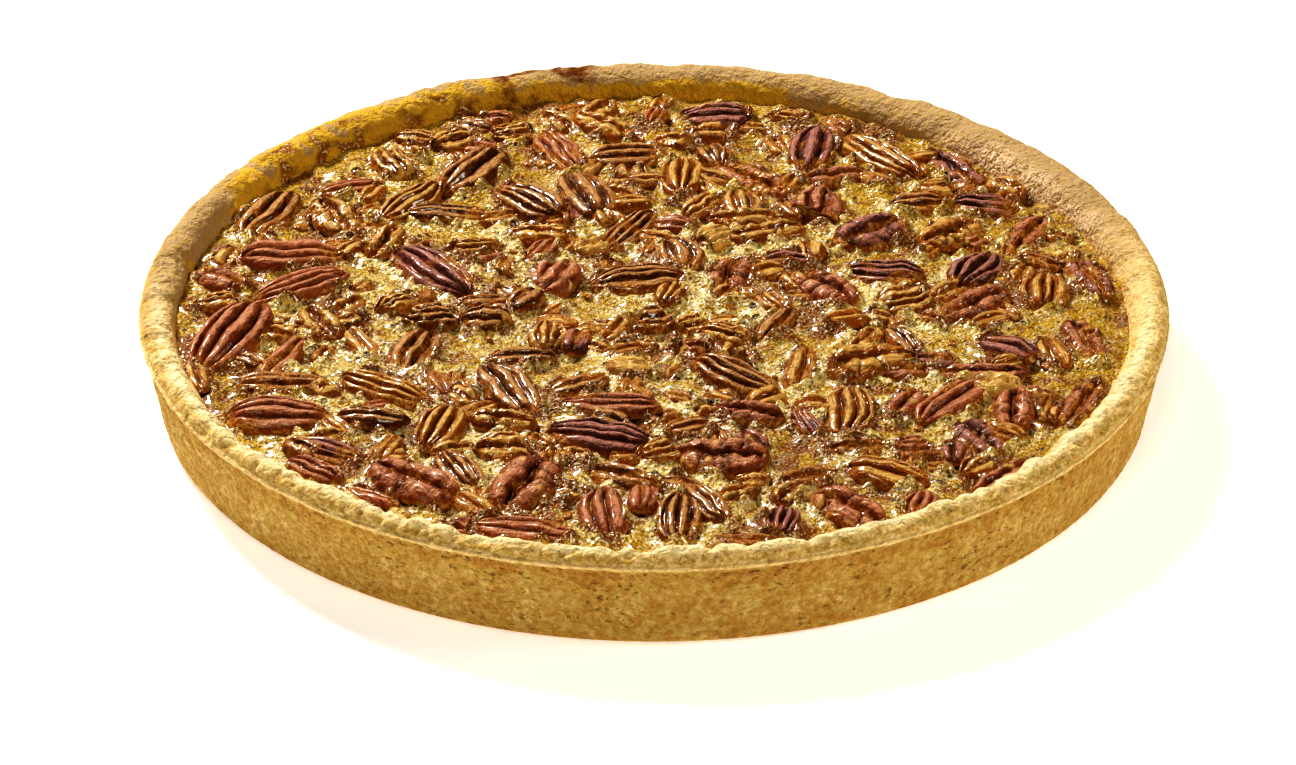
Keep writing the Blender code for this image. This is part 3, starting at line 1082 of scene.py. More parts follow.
        def grain(stretch: tuple[float, float, float], size: float, channel: int) -> Array:
            """Return noise over the nut, stretched along it, with features of a size in metres."""
            return noise_at(local * np.array(stretch), size, nut.seed + channel)

        wrinkles = grain((0.35, 1.0, 1.0), 1.3 * MM, 0)
        dents = grain((1.0, 1.0, 1.0), 5.0 * MM * scale, 5)
        folds = 0.35 - np.abs(grain((1.0, 0.7, 0.7), 3.0 * MM * scale, 9))
        folds += 0.15 - 0.5 * np.abs(grain((1.0, 0.6, 0.6), 1.8 * MM * scale, 61))
        fold = {Side.BACK: 0.15, Side.FACE: 1.0, Side.CHUNK: 1.1}[nut.side] * self.fold
        rise = self.wrinkle * wrinkles + scale * (self.dent * dents + fold * folds)
        fade = np.minimum(w * 2.0, 1.0)
        lift = np.zeros_like(local)
        lift[:, 2] = rise * fade * np.where(upper, 1.0, 0.3)
        lift[:, 1] = self.sway * scale * grain((1.0, 0.3, 0.3), 6.0 * MM * scale, 21) * fade
        if nut.side is Side.CHUNK:
            for axis, channel in ((0, 31), (1, 41)):
                lumps = grain((1.0, 1.0, 1.0), 4.0 * MM * scale, channel)
                lift[:, axis] += self.lumpy * scale * lumps * w
        return lift

    def build(self, name: str, nuts: list[Nut], level: float, segments: int, rings: int) -> Piece:
        """Build one piece that holds one or more nuts.

        Args:
            name: The piece's name.
            nuts: The nuts it holds.
            level: The height of the filling.
            segments: The faces round each nut.
            rings: The rows of faces along each nut.

        Returns:
            The piece.
        """
        mesh = self.balls(name, len(nuts), segments, rings)
        units = coordinates(mesh).reshape(len(nuts), -1, 3)
        shaped = [self.shape(unit, nut, level) for unit, nut in zip(units, nuts)]
        set_coordinates(mesh, np.concatenate([points for points, _, _ in shaped]))
        for key in ("groove", "crest", "soak", "tone", "bare"):
            set_mask(mesh, key, np.concatenate([masks[key] for _, masks, _ in shaped]))
        set_strands(mesh, np.concatenate([strand for _, _, strand in shaped]))
        return add_object(name, mesh)


@dataclass
class Crust:
    """The shortcrust shell: flat base, tapered porous wall, thin lip and knobbly pressed rim."""

    lip_radius: float
    highest: float
    lip_height: float = 25.5 * MM
    overhang: float = 1.4 * MM
    rim_height: float = 30.0 * MM
    crest_share: float = 0.52
    base_radius: float = 135.2 * MM
    base_round: float = 3.2 * MM
    floor: float = 5.0 * MM
    floor_inset: float = 3.2 * MM
    level: float = 22.6 * MM
    inner: float = 129.1 * MM
    inner_offset: float = 2.8 * MM
    inner_angle: float = math.radians(262)
    slope_width: float = 3.5 * MM
    slope_angle: float = math.radians(36)
    slope_spread: float = math.radians(15)
    wave: float = 0.9 * MM
    wave_frequency: float = 3.1
    knob: float = 0.8 * MM
    knob_frequency: float = 9.0
    front_drop: float = 0.8 * MM
    knob_room: float = 0.7 * MM
    ease_reach: tuple[float, float] = (1.0 * MM, 0.95 * MM)
    ease_top: tuple[float, float] = (0.9 * MM, 0.88 * MM)
    lobes: float = 19.0
    lobe_height: float = 1.3 * MM
    dune_height: float = 0.85 * MM
    crumb_height: float = 0.26 * MM
    drag_depth: float = 0.34 * MM
    flake_depth: float = 0.22 * MM
    grain_height: float = 0.15 * MM
    swell: float = 0.35 * MM
    lip_rag: tuple[float, float] = (0.35 * MM, 0.3 * MM)
    segments: int = 1200
    points: int = 80
    ledge: float = 0.9 * MM
    ledge_rise: float = 0.45 * MM
    breaks: tuple[float, ...] = (0.0, 0.06, 0.42, 0.46, 0.50, 0.70, 0.95, 1.0)
    ranks: tuple[float, ...] = (0.0, 0.07, 0.33, 0.46, 0.95, 1.0)
    rank_steps: tuple[float, ...] = (0.0, 0.06, 0.42, 0.50, 0.95, 1.0)
    base_steps: tuple[float, ...] = (-1.0, -0.6, -0.25)

    @staticmethod
    def ring_noise(angle: Array, frequency: float, channel: Array | float) -> Array:
        """Return smooth noise that closes on itself round the pie."""
        x, y = np.cos(angle) * frequency, np.sin(angle) * frequency
        return noise_at(np.stack([x, y, np.zeros_like(angle) + channel], axis=1), 1.0)

    def inner_radius(self, angle: Array) -> Array:
        """Return the shell's inner radius at the filling's level.

        Args:
            angle: The angle round the pie of each point.

        Returns:
            The radius of each point.
        """
        turn = np.remainder(angle - self.slope_angle + math.pi, math.tau) - math.pi
        slope = self.slope_width * np.exp(-((turn / self.slope_spread) ** 2))
        wave = self.wave * self.ring_noise(angle, self.wave_frequency, 7.0)
        return self.inner + self.inner_offset * np.cos(angle - self.inner_angle) + wave - slope

    def rim_knob(self, angle: Array) -> Array:
        """Return the rim's broad knobs."""
        return self.knob * self.ring_noise(angle, self.knob_frequency, 3.0)

    def crest(self, angle: Array) -> Array:
        """Return the height of the rim's crest."""
        wave = self.wave * self.ring_noise(angle, self.wave_frequency, 1.0) + self.rim_knob(angle)
        return self.rim_height - self.knob_room + wave + self.front_drop * np.sin(angle)

    def section(self, angle: Array, t: Array) -> tuple[Array, Array]:
        """Return the shell's radius and height.

        Args:
            angle: The angle round the pie of each point.
            t: How far along the section it lies: -1 at the base's middle, 0 at its edge and 1 at
                the inner floor.

        Returns:
            The radius and the height of each point.
        """
        inner = self.inner_radius(angle)
        lip = self.lip_radius + 0.4 * self.rim_knob(angle)
        crest = self.crest(angle)
        crest_radius = inner + self.crest_share * (self.lip_radius - inner)
        wall_top = self.lip_radius - self.overhang
        share = [np.clip((t - a) / (b - a), 0, 1) for a, b in zip(self.breaks, self.breaks[1:])]
        corner = share[0] * math.pi / 2
        radius = self.base_radius - self.base_round * (1.0 - np.sin(corner))
        height = self.base_round * (1.0 - np.cos(corner))
        radius += (wall_top - self.base_radius) * share[1]
        height += (self.lip_height - self.overhang - self.base_round) * share[1]
        radius += (lip - wall_top) * share[2] ** 0.7
        height += self.overhang * share[2] ** 1.4
        radius -= self.ledge * share[3]
        height += self.ledge_rise * share[3]
        band = share[4] * math.pi / 2
        radius -= (lip - self.ledge - crest_radius) * (1.0 - np.cos(band)) ** 0.8
        height += (crest - self.lip_height - self.ledge_rise) * np.sin(band) ** 0.9
        dip = share[5] * math.pi / 2
        radius -= (crest_radius - inner) * np.sin(dip) ** 1.1
        height -= (crest - self.level) * (1.0 - np.cos(dip))
        radius -= self.floor_inset * share[6]
        height -= (self.level - self.floor) * share[6]
        return radius * (1.0 + np.minimum(t, 0.0)), height

    def build(self) -> Piece:
        """Build the shell.

        Returns:
            The piece.
        """
        bm = bmesh.new()
        along = bm.verts.layers.float.new("along")
        steps = np.interp(np.linspace(0.0, 1.0, self.points), self.ranks, self.rank_steps)
        steps = np.concatenate([self.base_steps, steps])
        radius, height = self.section(np.zeros_like(steps), steps)
        profile = [bm.verts.new((r, 0.0, z)) for r, z in zip(radius, height)]
        for vert, step in zip(profile, steps):
            vert[along] = step
        for first, second in zip(profile, profile[1:]):
            bm.edges.new((first, second))
        bmesh.ops.spin(
            bm, geom=bm.verts[:] + bm.edges[:], cent=(0, 0, 0), axis=(0, 0, 1), angle=math.tau,
            steps=self.segments, use_merge=True, use_duplicate=False,
        )
        bmesh.ops.remove_doubles(bm, verts=bm.verts[:], dist=1e-7)
        close_shell(bm)
        mesh = mesh_from(bm, "shortcrust_shell")
        self.shape(mesh)
        return add_object("shortcrust_shell", mesh)

    def shape(self, mesh: Mesh) -> None:
        """Move the turned shell to its uneven form and store its masks.

        Args:
            mesh: The shell's mesh.
        """
        points = coordinates(mesh)
        t = read(mesh.attributes["along"].data, "value", 1)[:, 0]
        angle = np.arctan2(points[:, 1], points[:, 0])
        radius, height = self.section(angle, t)
        base = np.stack([radius * np.cos(angle), radius * np.sin(angle), height], axis=1)
        set_coordinates(mesh, base)
        normals = read(mesh.vertex_normals, "vector")
        rim = smooth_step(0.50, 0.58, t) * (1.0 - smooth_step(0.88, 0.95, t))
        wall = smooth_step(0.02, 0.08, t) * (1.0 - smooth_step(0.40, 0.44, t))
        front = smooth_step(-0.3, 0.5, -np.sin(angle + 0.35))
        left = smooth_step(0.35, 0.95, -np.cos(angle))
        pleats = np.abs(self.ring_noise(angle, self.lobes, 23.0 + 1.6 * t))
        knobs = np.minimum(2.4 * pleats, 1.0) ** 0.7 - 0.5 + 0.35 * noise_at(base, 4.5 * MM, 6.0)
        tall = smooth_step(0.51, 0.60, t) * (1.0 - smooth_step(0.80, 0.92, t))
        crumbly = 0.5 - np.abs(noise_at(base, 3.4 * MM, 3.0)) * 2.0
        dunes = self.dune_height * noise_at(base, 8 * MM, 2.0)
        lift = self.lobe_height * knobs * tall * (0.3 + 0.7 * front)
        lift += (dunes + self.crumb_height * crumbly) * rim
        lift += self.grain_height * noise_at(base, 1.3 * MM, 5.0)
        lift += self.wall_relief(base, left) * wall
        lip = smooth_step(0.41, 0.45, t) * (1.0 - smooth_step(0.50, 0.54, t))
        ragged = self.lip_rag[0] * self.ring_noise(angle, 60.0, 13.0)
        ragged += self.lip_rag[1] * self.ring_noise(angle, 22.0, 14.0)
        lift += ragged * lip
        lift *= smooth_step(0.0, 0.05, t) * (1.0 - smooth_step(0.95, 0.97, t))
        moved = base + normals * lift[:, None]
        moved[:, 2] = np.clip(moved[:, 2], 0.0, None)
        moved[t <= 0.0, 2] = 0.0
        set_coordinates(mesh, self.within(moved))
        zone = noise_at(base, 15 * MM, 9.0) + 0.3 * smooth_step(0.2, 0.38, t)
        set_mask(mesh, "pit", smooth_step(-0.2, 0.3, zone) * wall * (1.0 - 0.7 * left))
        # Painted shade: the creases between the rim's lobes are darkened in colour later on.
        painted_crease_shade = smooth_step(-0.05, -0.45, knobs) * tall * (0.25 + 0.75 * front)
        self.browning(mesh, base, t, angle, painted_crease_shade)

    def wall_relief(self, base: Array, left: Array) -> Array:
        """Return how far the outer wall's drag marks, flakes and swells stand out.

        Args:
            base: The places before the fine relief.
            left: How far each is round the pie's left side, where the drag marks are.

        Returns:
            One height for each place.
        """
        drag = noise_at(base * np.array([1.0, 1.0, 0.14]), 1.7 * MM, 4.0) * (0.12 + 0.9 * left)
        flakes = noise_at(base * np.array([1.0, 1.0, 0.7]), 2.4 * MM, 21.0)
        broad = noise_at(base, 17 * MM, 12.0)
        return self.drag_depth * drag + self.flake_depth * flakes + self.swell * broad

    def within(self, points: Array) -> Array:
        """Ease the furthest points back so that the shell keeps its measured reach and height.

        Args:
            points: The shell's places.

        Returns:
            The eased places.
        """
        eased = []
        reach = np.hypot(points[:, 0], points[:, 1])
        for value, limit, (start, most) in (
            (reach, self.lip_radius, self.ease_reach), (points[:, 2], self.highest, self.ease_top),
        ):
            over = value - (limit - start)
            eased.append(np.where(over > 0, limit - start + most * np.tanh(over / most), value))
        scale = eased[0] / np.maximum(reach, 1e-9)
        return np.stack([points[:, 0] * scale, points[:, 1] * scale, eased[1]], axis=1)

    @staticmethod
    def arc(angle: Array, middle: float, spread: float) -> Array:
        """Return 1 near an angle round the pie, falling to 0 beyond its spread, in degrees."""
        turn = np.remainder(angle - math.radians(middle) + math.pi, math.tau) - math.pi
        return np.exp(-((turn / math.radians(spread)) ** 4))

    def browning(self, mesh: Mesh, base: Array, t: Array, angle: Array, painted_crease_shade: Array) -> None:
        """Store how far each point is baked or darkened by painted shade, where the front rim's
        crest gets a painted highlight, and how dull or burnt it is.

        Args:
            mesh: The shell's mesh.
            base: The places before the fine relief.
            t: Place along the section.
            angle: Angle round the pie.
            painted_crease_shade: How far a point is down between the rim's lobes, where painted
                shade darkens the crust.
        """
        wall = smooth_step(0.0, 0.03, t) * (1.0 - smooth_step(0.40, 0.45, t))
        foot = 1.0 - smooth_step(0.02, 0.06, t)
        # A browner band just under the lip: partly browning, partly painted shade under the
        # overhang.
        under_lip_bake_and_shade = smooth_step(0.28, 0.41, t) * (1.0 - smooth_step(0.42, 0.45, t))
        upper = smooth_step(0.49, 0.53, t)
        inside = smooth_step(0.72, 0.86, t)
        back = smooth_step(-0.3, 0.45, np.sin(angle - 0.15))
        set_mask(mesh, "dull", back * upper)
        # Painted highlight: the cream mask lightens the upper rim band on the front half, where
        # light catches the crest.
        lit = smooth_step(0.15, -0.4, np.sin(angle))
        set_mask(mesh, "cream", 0.9 * lit * smooth_step(0.58, 0.74, t) * (1.0 - inside))
        patches = noise_at(base, 8 * MM, 14.0)
        bake = 0.48 * wall + 0.2 * foot + 0.2 * under_lip_bake_and_shade + 0.12 * patches * (wall + 0.5)
        # Painted shade: the creases between the rim's lobes and the lower part of the rim's band
        # are browned, darker below the crest.
        bake += (0.12 * painted_crease_shade + 0.30 * smooth_step(0.68, 0.52, t)) * upper
        set_mask(mesh, "bake", np.where(t <= 0.0, 0.8, bake))
        drips, runs = noise_at(base, 9 * MM, 15.0), noise_at(base, 3.5 * MM, 16.0)
        self.syrup(mesh, t, angle, drips, runs)
        wander = t + 0.06 * drips + 0.04 * runs
        start = smooth_step(0.60, 0.66, t)
        strip = self.arc(angle, 104.5, 6.5) * start * (1.0 - smooth_step(0.71, 0.79, wander))
        blob = self.arc(angle, 100.5, 3.0) * start * (1.0 - smooth_step(0.76, 0.86, wander))
        drip = self.arc(angle + 0.02 * runs, 109.8, 1.6) * smooth_step(0.62, 0.68, t)
        foot_line = self.arc(angle, 108.0, 16.0) * smooth_step(0.88, 0.93, wander)
        char = np.maximum.reduce([strip, blob, 0.8 * drip, 0.6 * foot_line])
        set_mask(mesh, "char", 0.9 * char * (0.85 + 0.6 * runs))

    def syrup(self, mesh: Mesh, t: Array, angle: Array, drips: Array, runs: Array) -> None:
        """Store where syrup has soaked in or run over the rim, and where it left sugar.

        Args:
            mesh: The shell's mesh.
            t: Place along the section.
            angle: Angle round the pie.
            drips: Broad noise over the shell.
            runs: Fine noise over the shell.
        """
        glazed = smooth_step(0.0, 0.9, self.arc(angle, 112, 46) + 0.5 * drips + 0.3 * runs)
        soak = 0.6 * glazed * smooth_step(0.80, 0.89, t + 0.04 * drips + 0.03 * runs)
        over = t - 0.1 * drips - 0.05 * runs
        for middle, spread, start in ((140, 13, 0.60), (118, 9, 0.68)):
            spill = self.arc(angle, middle, spread) * smooth_step(start, start + 0.1, over)
            soak = np.maximum(soak, spill * smooth_step(-0.7, 0.3, drips + 0.6 * runs))
        sugar = 0.9 * self.arc(angle, 31, 17) * smooth_step(0.72, 0.86, t + 0.08 * drips)
        set_mask(mesh, "sugar", sugar)
        set_mask(mesh, "soak", 0.9 * soak * (1.0 - sugar))


@dataclass
class Filling:
    """The baked custard: an uneven foamy surface that climbs a little on each nut and the crust."""

    crust: Crust
    cells: int = 292
    overlap: float = 0.25 * MM
    bottom: float = 6.0 * MM
    bottom_share: float = 0.975
    drop: float = 0.4 * MM
    swell: float = 0.6 * MM
    swell_size: float = 1.0 / 22.0
    mound: float = 1.0 * MM
    lump: float = 0.8 * MM
    froth: float = 0.36 * MM
    climb: float = 1.9 * MM
    climb_width: float = 2.2 * MM
    edge_climb: float = 0.6 * MM
    hollow: float = 2.6 * MM
    skin_width: float = 1.0 * MM
    ring_away: float = 1.6 * MM
    ring_width: float = 1.3 * MM
    pale_middle: tuple[float, float] = (-8 * MM, -32 * MM)
    pale_reach: tuple[float, float] = (65 * MM, 130 * MM)

    def build(self, nuts: list[Nut]) -> Piece:
        """Build the filling round the nuts.

        Args:
            nuts: The nuts that it climbs on.

        Returns:
            The piece.
        """
        bm = bmesh.new()
        bmesh.ops.create_grid(bm, x_segments=self.cells, y_segments=self.cells, size=1.0)
        for vert in bm.verts:
            x, y = vert.co.x, vert.co.y
            vert.co.x = x * math.sqrt(1.0 - y * y / 2.0)
            vert.co.y = y * math.sqrt(1.0 - x * x / 2.0)
        rim = [edge for edge in bm.edges if edge.is_boundary]
        skirt = bmesh.ops.extrude_edge_only(bm, edges=rim)
        lowered = [item for item in skirt["geom"] if isinstance(item, bmesh.types.BMVert)]
        bmesh.ops.translate(bm, verts=lowered, vec=(0.0, 0.0, -1.0))
        close_shell(bm)
        mesh = mesh_from(bm, "custard_filling")
        self.shape(mesh, nuts)
        return add_object("custard_filling", mesh)

    def shape(self, mesh: Mesh, nuts: list[Nut]) -> None:
        """Move the disc to the filling's uneven surface and store its masks.

        Args:
            mesh: The disc, of radius 1, with its underside at -1.
            nuts: The nuts that it climbs on.
        """
        points = coordinates(mesh)
        top = points[:, 2] > -0.5
        angle = np.arctan2(points[:, 1], points[:, 0])
        reach = np.minimum(np.hypot(points[:, 0], points[:, 1]), 1.0)
        radius = self.crust.inner_radius(angle) + self.overlap
        x, y = np.cos(angle) * reach * radius, np.sin(angle) * reach * radius
        flat = np.stack([x, y, np.zeros_like(angle)], axis=1)
        away = distance_to(flat, nuts)
        edge = (1.0 - reach) * radius
        flat[:, 2] = np.where(top, self.height(flat, away, edge), self.bottom)
        flat[~top, :2] *= self.bottom_share
        set_coordinates(mesh, flat)
        # Amber next to each nut: partly the syrup film that gathers there, partly painted contact
        # shade.
        near_nut_film_and_shade = np.exp(-np.maximum(away, 0.0) / self.skin_width)
        region = smooth_step(-0.3, 0.4, noise_at(flat, 22 * MM, 6.0))
        ring = np.exp(-(((away - self.ring_away) / self.ring_width) ** 2))
        skin = 0.45 * near_nut_film_and_shade + 0.5 * region + 0.1 * np.exp(-edge / (5 * MM))
        set_mask(mesh, "skin", skin)
        left, front = self.pale_middle
        off_middle = np.hypot(flat[:, 0] - left, flat[:, 1] - front)
        middle = 1.0 - smooth_step(*self.pale_reach, off_middle)
        set_mask(mesh, "frost", 0.24 + 0.3 * middle - 0.35 * region + 0.38 * ring)

    def height(self, flat: Array, away: Array, edge: Array) -> Array:
        """Return the height of the filling's top.

        Args:
            flat: The places, all at height 0.
            away: How far each place is from the nearest nut's outline.
            edge: How far it is from the crust.

        Returns:
            One height for each place.
        """
        broad = self.swell * noise_at(flat, self.swell_size)
        lumps = self.mound * noise_at(flat, 8 * MM, 1.0) + self.lump * noise_at(flat, 4 * MM, 2.0)
        froth = self.froth * noise_at(flat, 2.2 * MM, 3.0)
        ragged = 0.8 + 2.0 * noise_at(flat, 4.5 * MM, 4.0)
        climb = self.climb * np.exp(-np.maximum(away, 0.0) / self.climb_width) * ragged
        climb += self.edge_climb * np.exp(-edge / (2.0 * MM))
        dip = self.hollow * smooth_step(-1.0 * MM, -2.6 * MM, away)
        return self.crust.level - self.drop + broad + lumps + froth + climb - dip


@dataclass(frozen=True)
class Scatter:
    """How one kind of broken piece is strewn over the filling, with its lengths in mm.

    clear is how far a piece's middle keeps from every nut already there, in metres, and pale is
    the share of them that shows cream flesh.
    """

    tries: int
    shortest: float
    longest: float
    clear: float
    seed: int
    pale: float
    sides: tuple[Side, ...]


LUMPS = Scatter(380, 8.0, 14.0, 0.8 * MM, 1000, 0.04, (BACK, FACE, CHUNK))
BITS = Scatter(140, 2.4, 5.0, 0.5 * MM, 2000, 0.2, (CHUNK,))
CRUMBS = Scatter(140, 0.9, 2.0, 0.0, 4000, 0.6, (CHUNK,))


@dataclass
class Pecans:
    """Every pecan of the pie: the frame's named halves and the smaller pieces between them."""

    level: float
    reach: float = 121.0 * MM
    draw_seed: int = 20
    first_morsel_seed: int = 100
    look_shares: tuple[float, ...] = (8, 1.6, 1.0, 0.4)
    half_detail: tuple[int, int] = (72, 60)
    longer: float = 1.04
    wider: float = 1.06
    taller: float = 1.12
    shallower: float = 0.9
    thickness_share: float = 0.62
    most_thick: float = 7.0 * MM
    above: float = 0.55
    tilt: float = 0.12
    lean: float = 0.2
    sink: tuple[float, float] = (-0.12, 0.10)
    shape: PecanShape = field(default_factory=PecanShape)
    halves: dict[str, Nut] = field(default_factory=dict)
    smaller: list[Nut] = field(default_factory=list)
    lumps: list[Nut] = field(default_factory=list)
    bits: list[Nut] = field(default_factory=list)
    crumbs: list[Nut] = field(default_factory=list)

    def gather(self, nodes: dict[str, Piece], slots: dict[str, str]) -> None:
        """Read the named halves from the frame, then lay out the smaller pieces.

        Args:
            nodes: The frame's nodes by name.
            slots: The material slot of each node.
        """
        names = sorted(name for name in nodes if name.startswith("pecan"))
        for seed, name in enumerate(names, start=1):
            self.halves[name] = self.from_node(name, nodes[name], slots[name], seed)
        for seed, morsel in enumerate(MORSELS, start=self.first_morsel_seed):
            self.smaller.append(self.from_morsel(morsel, seed))
        drawn = random.Random(self.draw_seed)
        taken = [*self.halves.values(), *self.smaller]
        self.lumps = self.strew(drawn, LUMPS, taken)
        self.bits = self.strew(drawn, BITS, taken + self.lumps)
        self.crumbs = self.strew(drawn, CRUMBS, taken)
        LOG.info("strewn: %d, %d, %d", len(self.lumps), len(self.bits), len(self.crumbs))

    def strew(self, drawn: random.Random, kind: Scatter, taken: list[Nut]) -> list[Nut]:
        """Scatter broken pieces where there is room.

        Args:
            drawn: The random numbers to use.
            kind: How many, how large and how far apart they are.
            taken: The nuts already there.

        Returns:
            The pieces that found room.
        """
        found: list[Nut] = []
        for seed in range(kind.seed, kind.seed + kind.tries):
            turn = drawn.uniform(0.0, math.tau)
            away = self.reach * math.sqrt(drawn.random())
            x, y = away * math.cos(turn), away * math.sin(turn)
            length = drawn.uniform(kind.shortest, kind.longest)
            look = drawn.choices((GLAZED, BROWN, RED, PURPLE), self.look_shares)[0]
            side = drawn.choice(kind.sides)
            heading = drawn.uniform(0, 360)
            width = length * drawn.uniform(0.5, 0.85)
            if distance_to(np.array([[x, y, 0.0]]), taken + found)[0] > kind.clear:
                pale = 1.0 if drawn.random() < kind.pale else 0.0
                morsel = Morsel(x / MM, y / MM, heading, length, width, side, look)
                found.append(self.from_morsel(morsel, seed, pale))
        return found

    def from_node(self, name: str, node: Piece, slot: str, seed: int) -> Nut:
        """Read a nut's place, size and look from its solid.

        Args:
            name: The node's name, which holds the side that shows.
            node: The node's object.
            slot: The record's material slot.
            seed: Picks the nut's own unevenness.

        Returns:
            The nut.
        """
        points = np.unique(np.round(coordinates(node.data), 6), axis=0)
        spread = points[None, :, :2] - points[:, None, :2]
        far = np.unravel_index(np.argmax((spread**2).sum(axis=2)), spread.shape[:2])
        tips = sorted((Vector(points[far[0]]), Vector(points[far[1]])), key=lambda tip: tip.x)
        centre = (tips[0] + tips[1]) / 2
        along = (tips[1] - tips[0]).normalized()
        _, _, axes = np.linalg.svd(points - points.mean(axis=0), full_matrices=False)
        up = Vector(axes[2])
        up = up if up.z > 0 else -up
        up = (up - along * up.dot(along)).normalized()
        offsets = points - np.array(centre)
        side_reach = offsets @ np.array(up.cross(along))
        rise = offsets @ np.array(up)
        return Nut(
            centre=centre, along=along, up=up,
            length=(tips[1] - tips[0]).length * self.longer,
            width=(side_reach.max() - side_reach.min()) * self.wider,
            top=rise.max() * self.taller, belly=-rise.min() * self.shallower,
            side=Side.BACK if Side.BACK.value in name else Side.FACE,
            look=next(look for look in Look if look.value.slot == slot), seed=seed,
        )

    def from_morsel(self, morsel: Morsel, seed: int, pale: float = 0.0) -> Nut:
        """Lay a smaller nut or broken piece half sunk in the filling.

        Args:
            morsel: Its place, size, shape and look.
            seed: Picks its own unevenness.
            pale: How much of its cream flesh shows, 0 to 1.

        Returns:
            The nut.
        """
        drawn = random.Random(seed)
        turn = math.radians(morsel.heading)
        tilt = drawn.uniform(-self.tilt, self.tilt)
        along = Vector((math.cos(turn), math.sin(turn), tilt)).normalized()
        lean = drawn.uniform(-self.lean, self.lean)
        up = Vector((0.0, 0.0, 1.0)) + Vector((-math.sin(turn), math.cos(turn), 0.0)) * lean
        up = (up - along * up.dot(along)).normalized()
        thickness = min(self.thickness_share * morsel.width * MM, self.most_thick)
        height = self.level + thickness * drawn.uniform(*self.sink)
        return Nut(
            centre=Vector((morsel.x * MM, morsel.y * MM, height)), along=along, up=up,
            length=morsel.length * MM, width=morsel.width * MM,
            top=self.above * thickness, belly=(1.0 - self.above) * thickness,
            side=morsel.side, look=morsel.look, seed=seed, pale=pale,
        )

    def build(self, materials: dict[Look, Material]) -> None:
        """Build and dress every nut.

        Args:
            materials: The material of each look.
        """
        for name, nut in self.halves.items():
            piece = self.shape.build(f"{name}_half", [nut], self.level, *self.half_detail)
            finish_piece(piece, materials[nut.look], nut.look.value.slot, name)
        kinds = (
            ("small_halves", self.smaller, 48, 40), ("broken_lumps", self.lumps, 28, 20),
            ("broken_bits", self.bits, 12, 9), ("crumbs", self.crumbs, 8, 6),
        )
        for kind, nuts, segments, rings in kinds:
            for look in Look:
                chosen = [nut for nut in nuts if nut.look is look]
                name = f"{kind}_{look.name.lower()}"
                piece = self.shape.build(name, chosen, self.level, segments, rings)
                finish_piece(piece, materials[look], look.value.slot)


@dataclass(frozen=True)
class Viewpoint:
    """The camera: slightly above, in front, with a long lens, aimed near the pie's middle."""

    elevation: float = math.radians(29.9)
    distance: float = 1.26
    left: float = 1.62 * MM
    below: float = 1.51 * MM
    sensor_mm: float = 36.0
    lens_mm: float = 127.2222
    nearest: float = 0.05

    def build(self) -> None:
        """Add the camera and make it the scene's own."""
        rise, run = math.sin(self.elevation), math.cos(self.elevation)
        camera = bpy.data.objects.new("camera", bpy.data.cameras.new("camera"))
        camera.data.sensor_width = self.sensor_mm
        camera.data.lens = self.lens_mm
        camera.data.clip_start = self.nearest
        aim = Vector((-self.left, -self.below * rise, -self.below * run))
        point_at(camera, aim, Vector((0.0, -run, rise)), self.distance)
        bpy.context.scene.camera = camera


@dataclass(frozen=True)
class Lamp:
    """A soft square light: where it stands, its side and its power, aimed at the pie."""

    name: str
    azimuth: float
    elevation: float
    side: float
    watts: float
    colour: Colour = WARM
    distance: float = 1.6

    def build(self) -> None:
        """Add the light to the scene."""
        light = bpy.data.lights.new(self.name, "AREA")
        light.shape = "SQUARE"
        light.size = self.side
        light.energy = self.watts
        light.color = self.colour
        turn, rise = math.radians(self.azimuth), math.radians(self.elevation)
        flat = math.cos(rise)
        towards = Vector((math.cos(turn) * flat, math.sin(turn) * flat, math.sin(rise)))
        point_at(bpy.data.objects.new(self.name, light), Vector(), towards, self.distance)


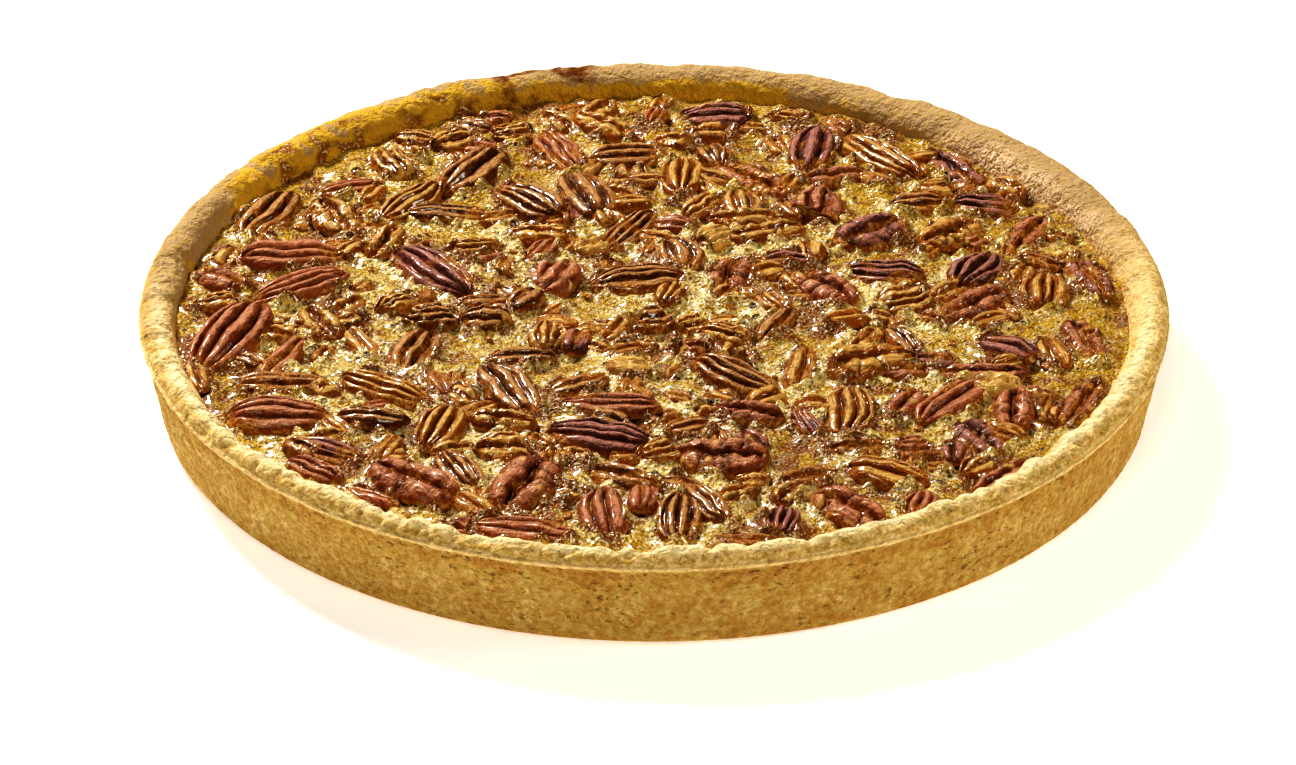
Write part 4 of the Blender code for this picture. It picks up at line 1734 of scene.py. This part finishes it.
@dataclass(frozen=True)
class Studio:
    """A pale floor, four soft lights and a faint warm surrounding light."""

    half_width: float = 6.0
    gap: float = 0.1 * MM
    floor_colour: Colour = (0.93, 0.93, 0.92)
    floor_glow: float = 0.32
    surround: float = 0.032
    lamps: tuple[Lamp, ...] = (
        Lamp("key", azimuth=125, elevation=45, side=0.26, watts=20.4, colour=(1.0, 1.0, 1.0)),
        Lamp("front_fill", azimuth=262, elevation=56, side=0.36, watts=3.5),
        Lamp("right_fill", azimuth=-8, elevation=28, side=0.4, watts=5.2),
        Lamp("left_fill", azimuth=215, elevation=22, side=0.6, watts=0.5),
    )

    def build(self) -> None:
        """Add the floor, the lights and the surrounding light."""
        self.build_floor()
        for lamp in self.lamps:
            lamp.build()
        world = bpy.data.worlds.new("studio")
        world.use_nodes = True
        backdrop = world.node_tree.nodes["Background"]
        backdrop.inputs["Color"].default_value = (*WARM, 1.0)
        backdrop.inputs["Strength"].default_value = self.surround
        scene = bpy.context.scene
        scene.world = world
        scene.view_settings.view_transform = "Standard"
        scene.view_settings.look = "Very High Contrast"

    def build_floor(self) -> None:
        """Add the floor, a hair below the pie so that the two surfaces don't flicker."""
        bm = bmesh.new()
        bmesh.ops.create_grid(bm, x_segments=1, y_segments=1, size=self.half_width)
        bmesh.ops.translate(bm, verts=bm.verts[:], vec=(0.0, 0.0, -self.gap))
        floor = add_object("floor", mesh_from(bm, "floor"))
        material, _, shader, _ = new_material("pale_floor")
        shader.inputs["Base Color"].default_value = (*self.floor_colour, 1.0)
        shader.inputs["Roughness"].default_value = 0.9
        shader.inputs["Specular IOR Level"].default_value = 0.1
        shader.inputs["Emission Color"].default_value = (1.0, 1.0, 1.0, 1.0)
        shader.inputs["Emission Strength"].default_value = self.floor_glow
        floor.data.materials.append(material)


def finish_piece(piece: Piece, material: Material, slot: str, *nodes: str) -> None:
    """Dress a piece, make it ride on the pie and hide the solids that it replaces.

    Args:
        piece: The piece.
        material: Its material.
        slot: The record's material slot; not used.
        nodes: The solids that it replaces, if any.
    """
    piece.data.materials.append(material)
    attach(piece, BODY)
    if nodes:
        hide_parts(*nodes)
    LOG.info("%s: %d faces", piece.name, len(piece.data.polygons))


def main() -> None:
    """Build the pie's pieces in order, dress them and report each one."""
    logging.basicConfig(level=logging.INFO, format="%(message)s")
    Viewpoint().build()
    Studio().build()
    groups = ShaderGroups()
    low, high = CAD_BOX
    crust = Crust(lip_radius=high[0], highest=high[2])
    finish_piece(crust.build(), CrustFinish().build(groups), "crust", "crust")
    pecans = Pecans(crust.level)
    rows = frame["record"]["subparts"]
    pecans.gather(frame["nodes"], {row["node"]: row["material_slot"] for row in rows})
    nuts = [*pecans.halves.values(), *pecans.smaller, *pecans.lumps]
    filling = Filling(crust).build(nuts)
    finish_piece(filling, FillingFinish().build(groups), "filling", "filling")
    pecans.build({look: look.value.build(groups) for look in Look})


if __name__ == "__main__":
    main()
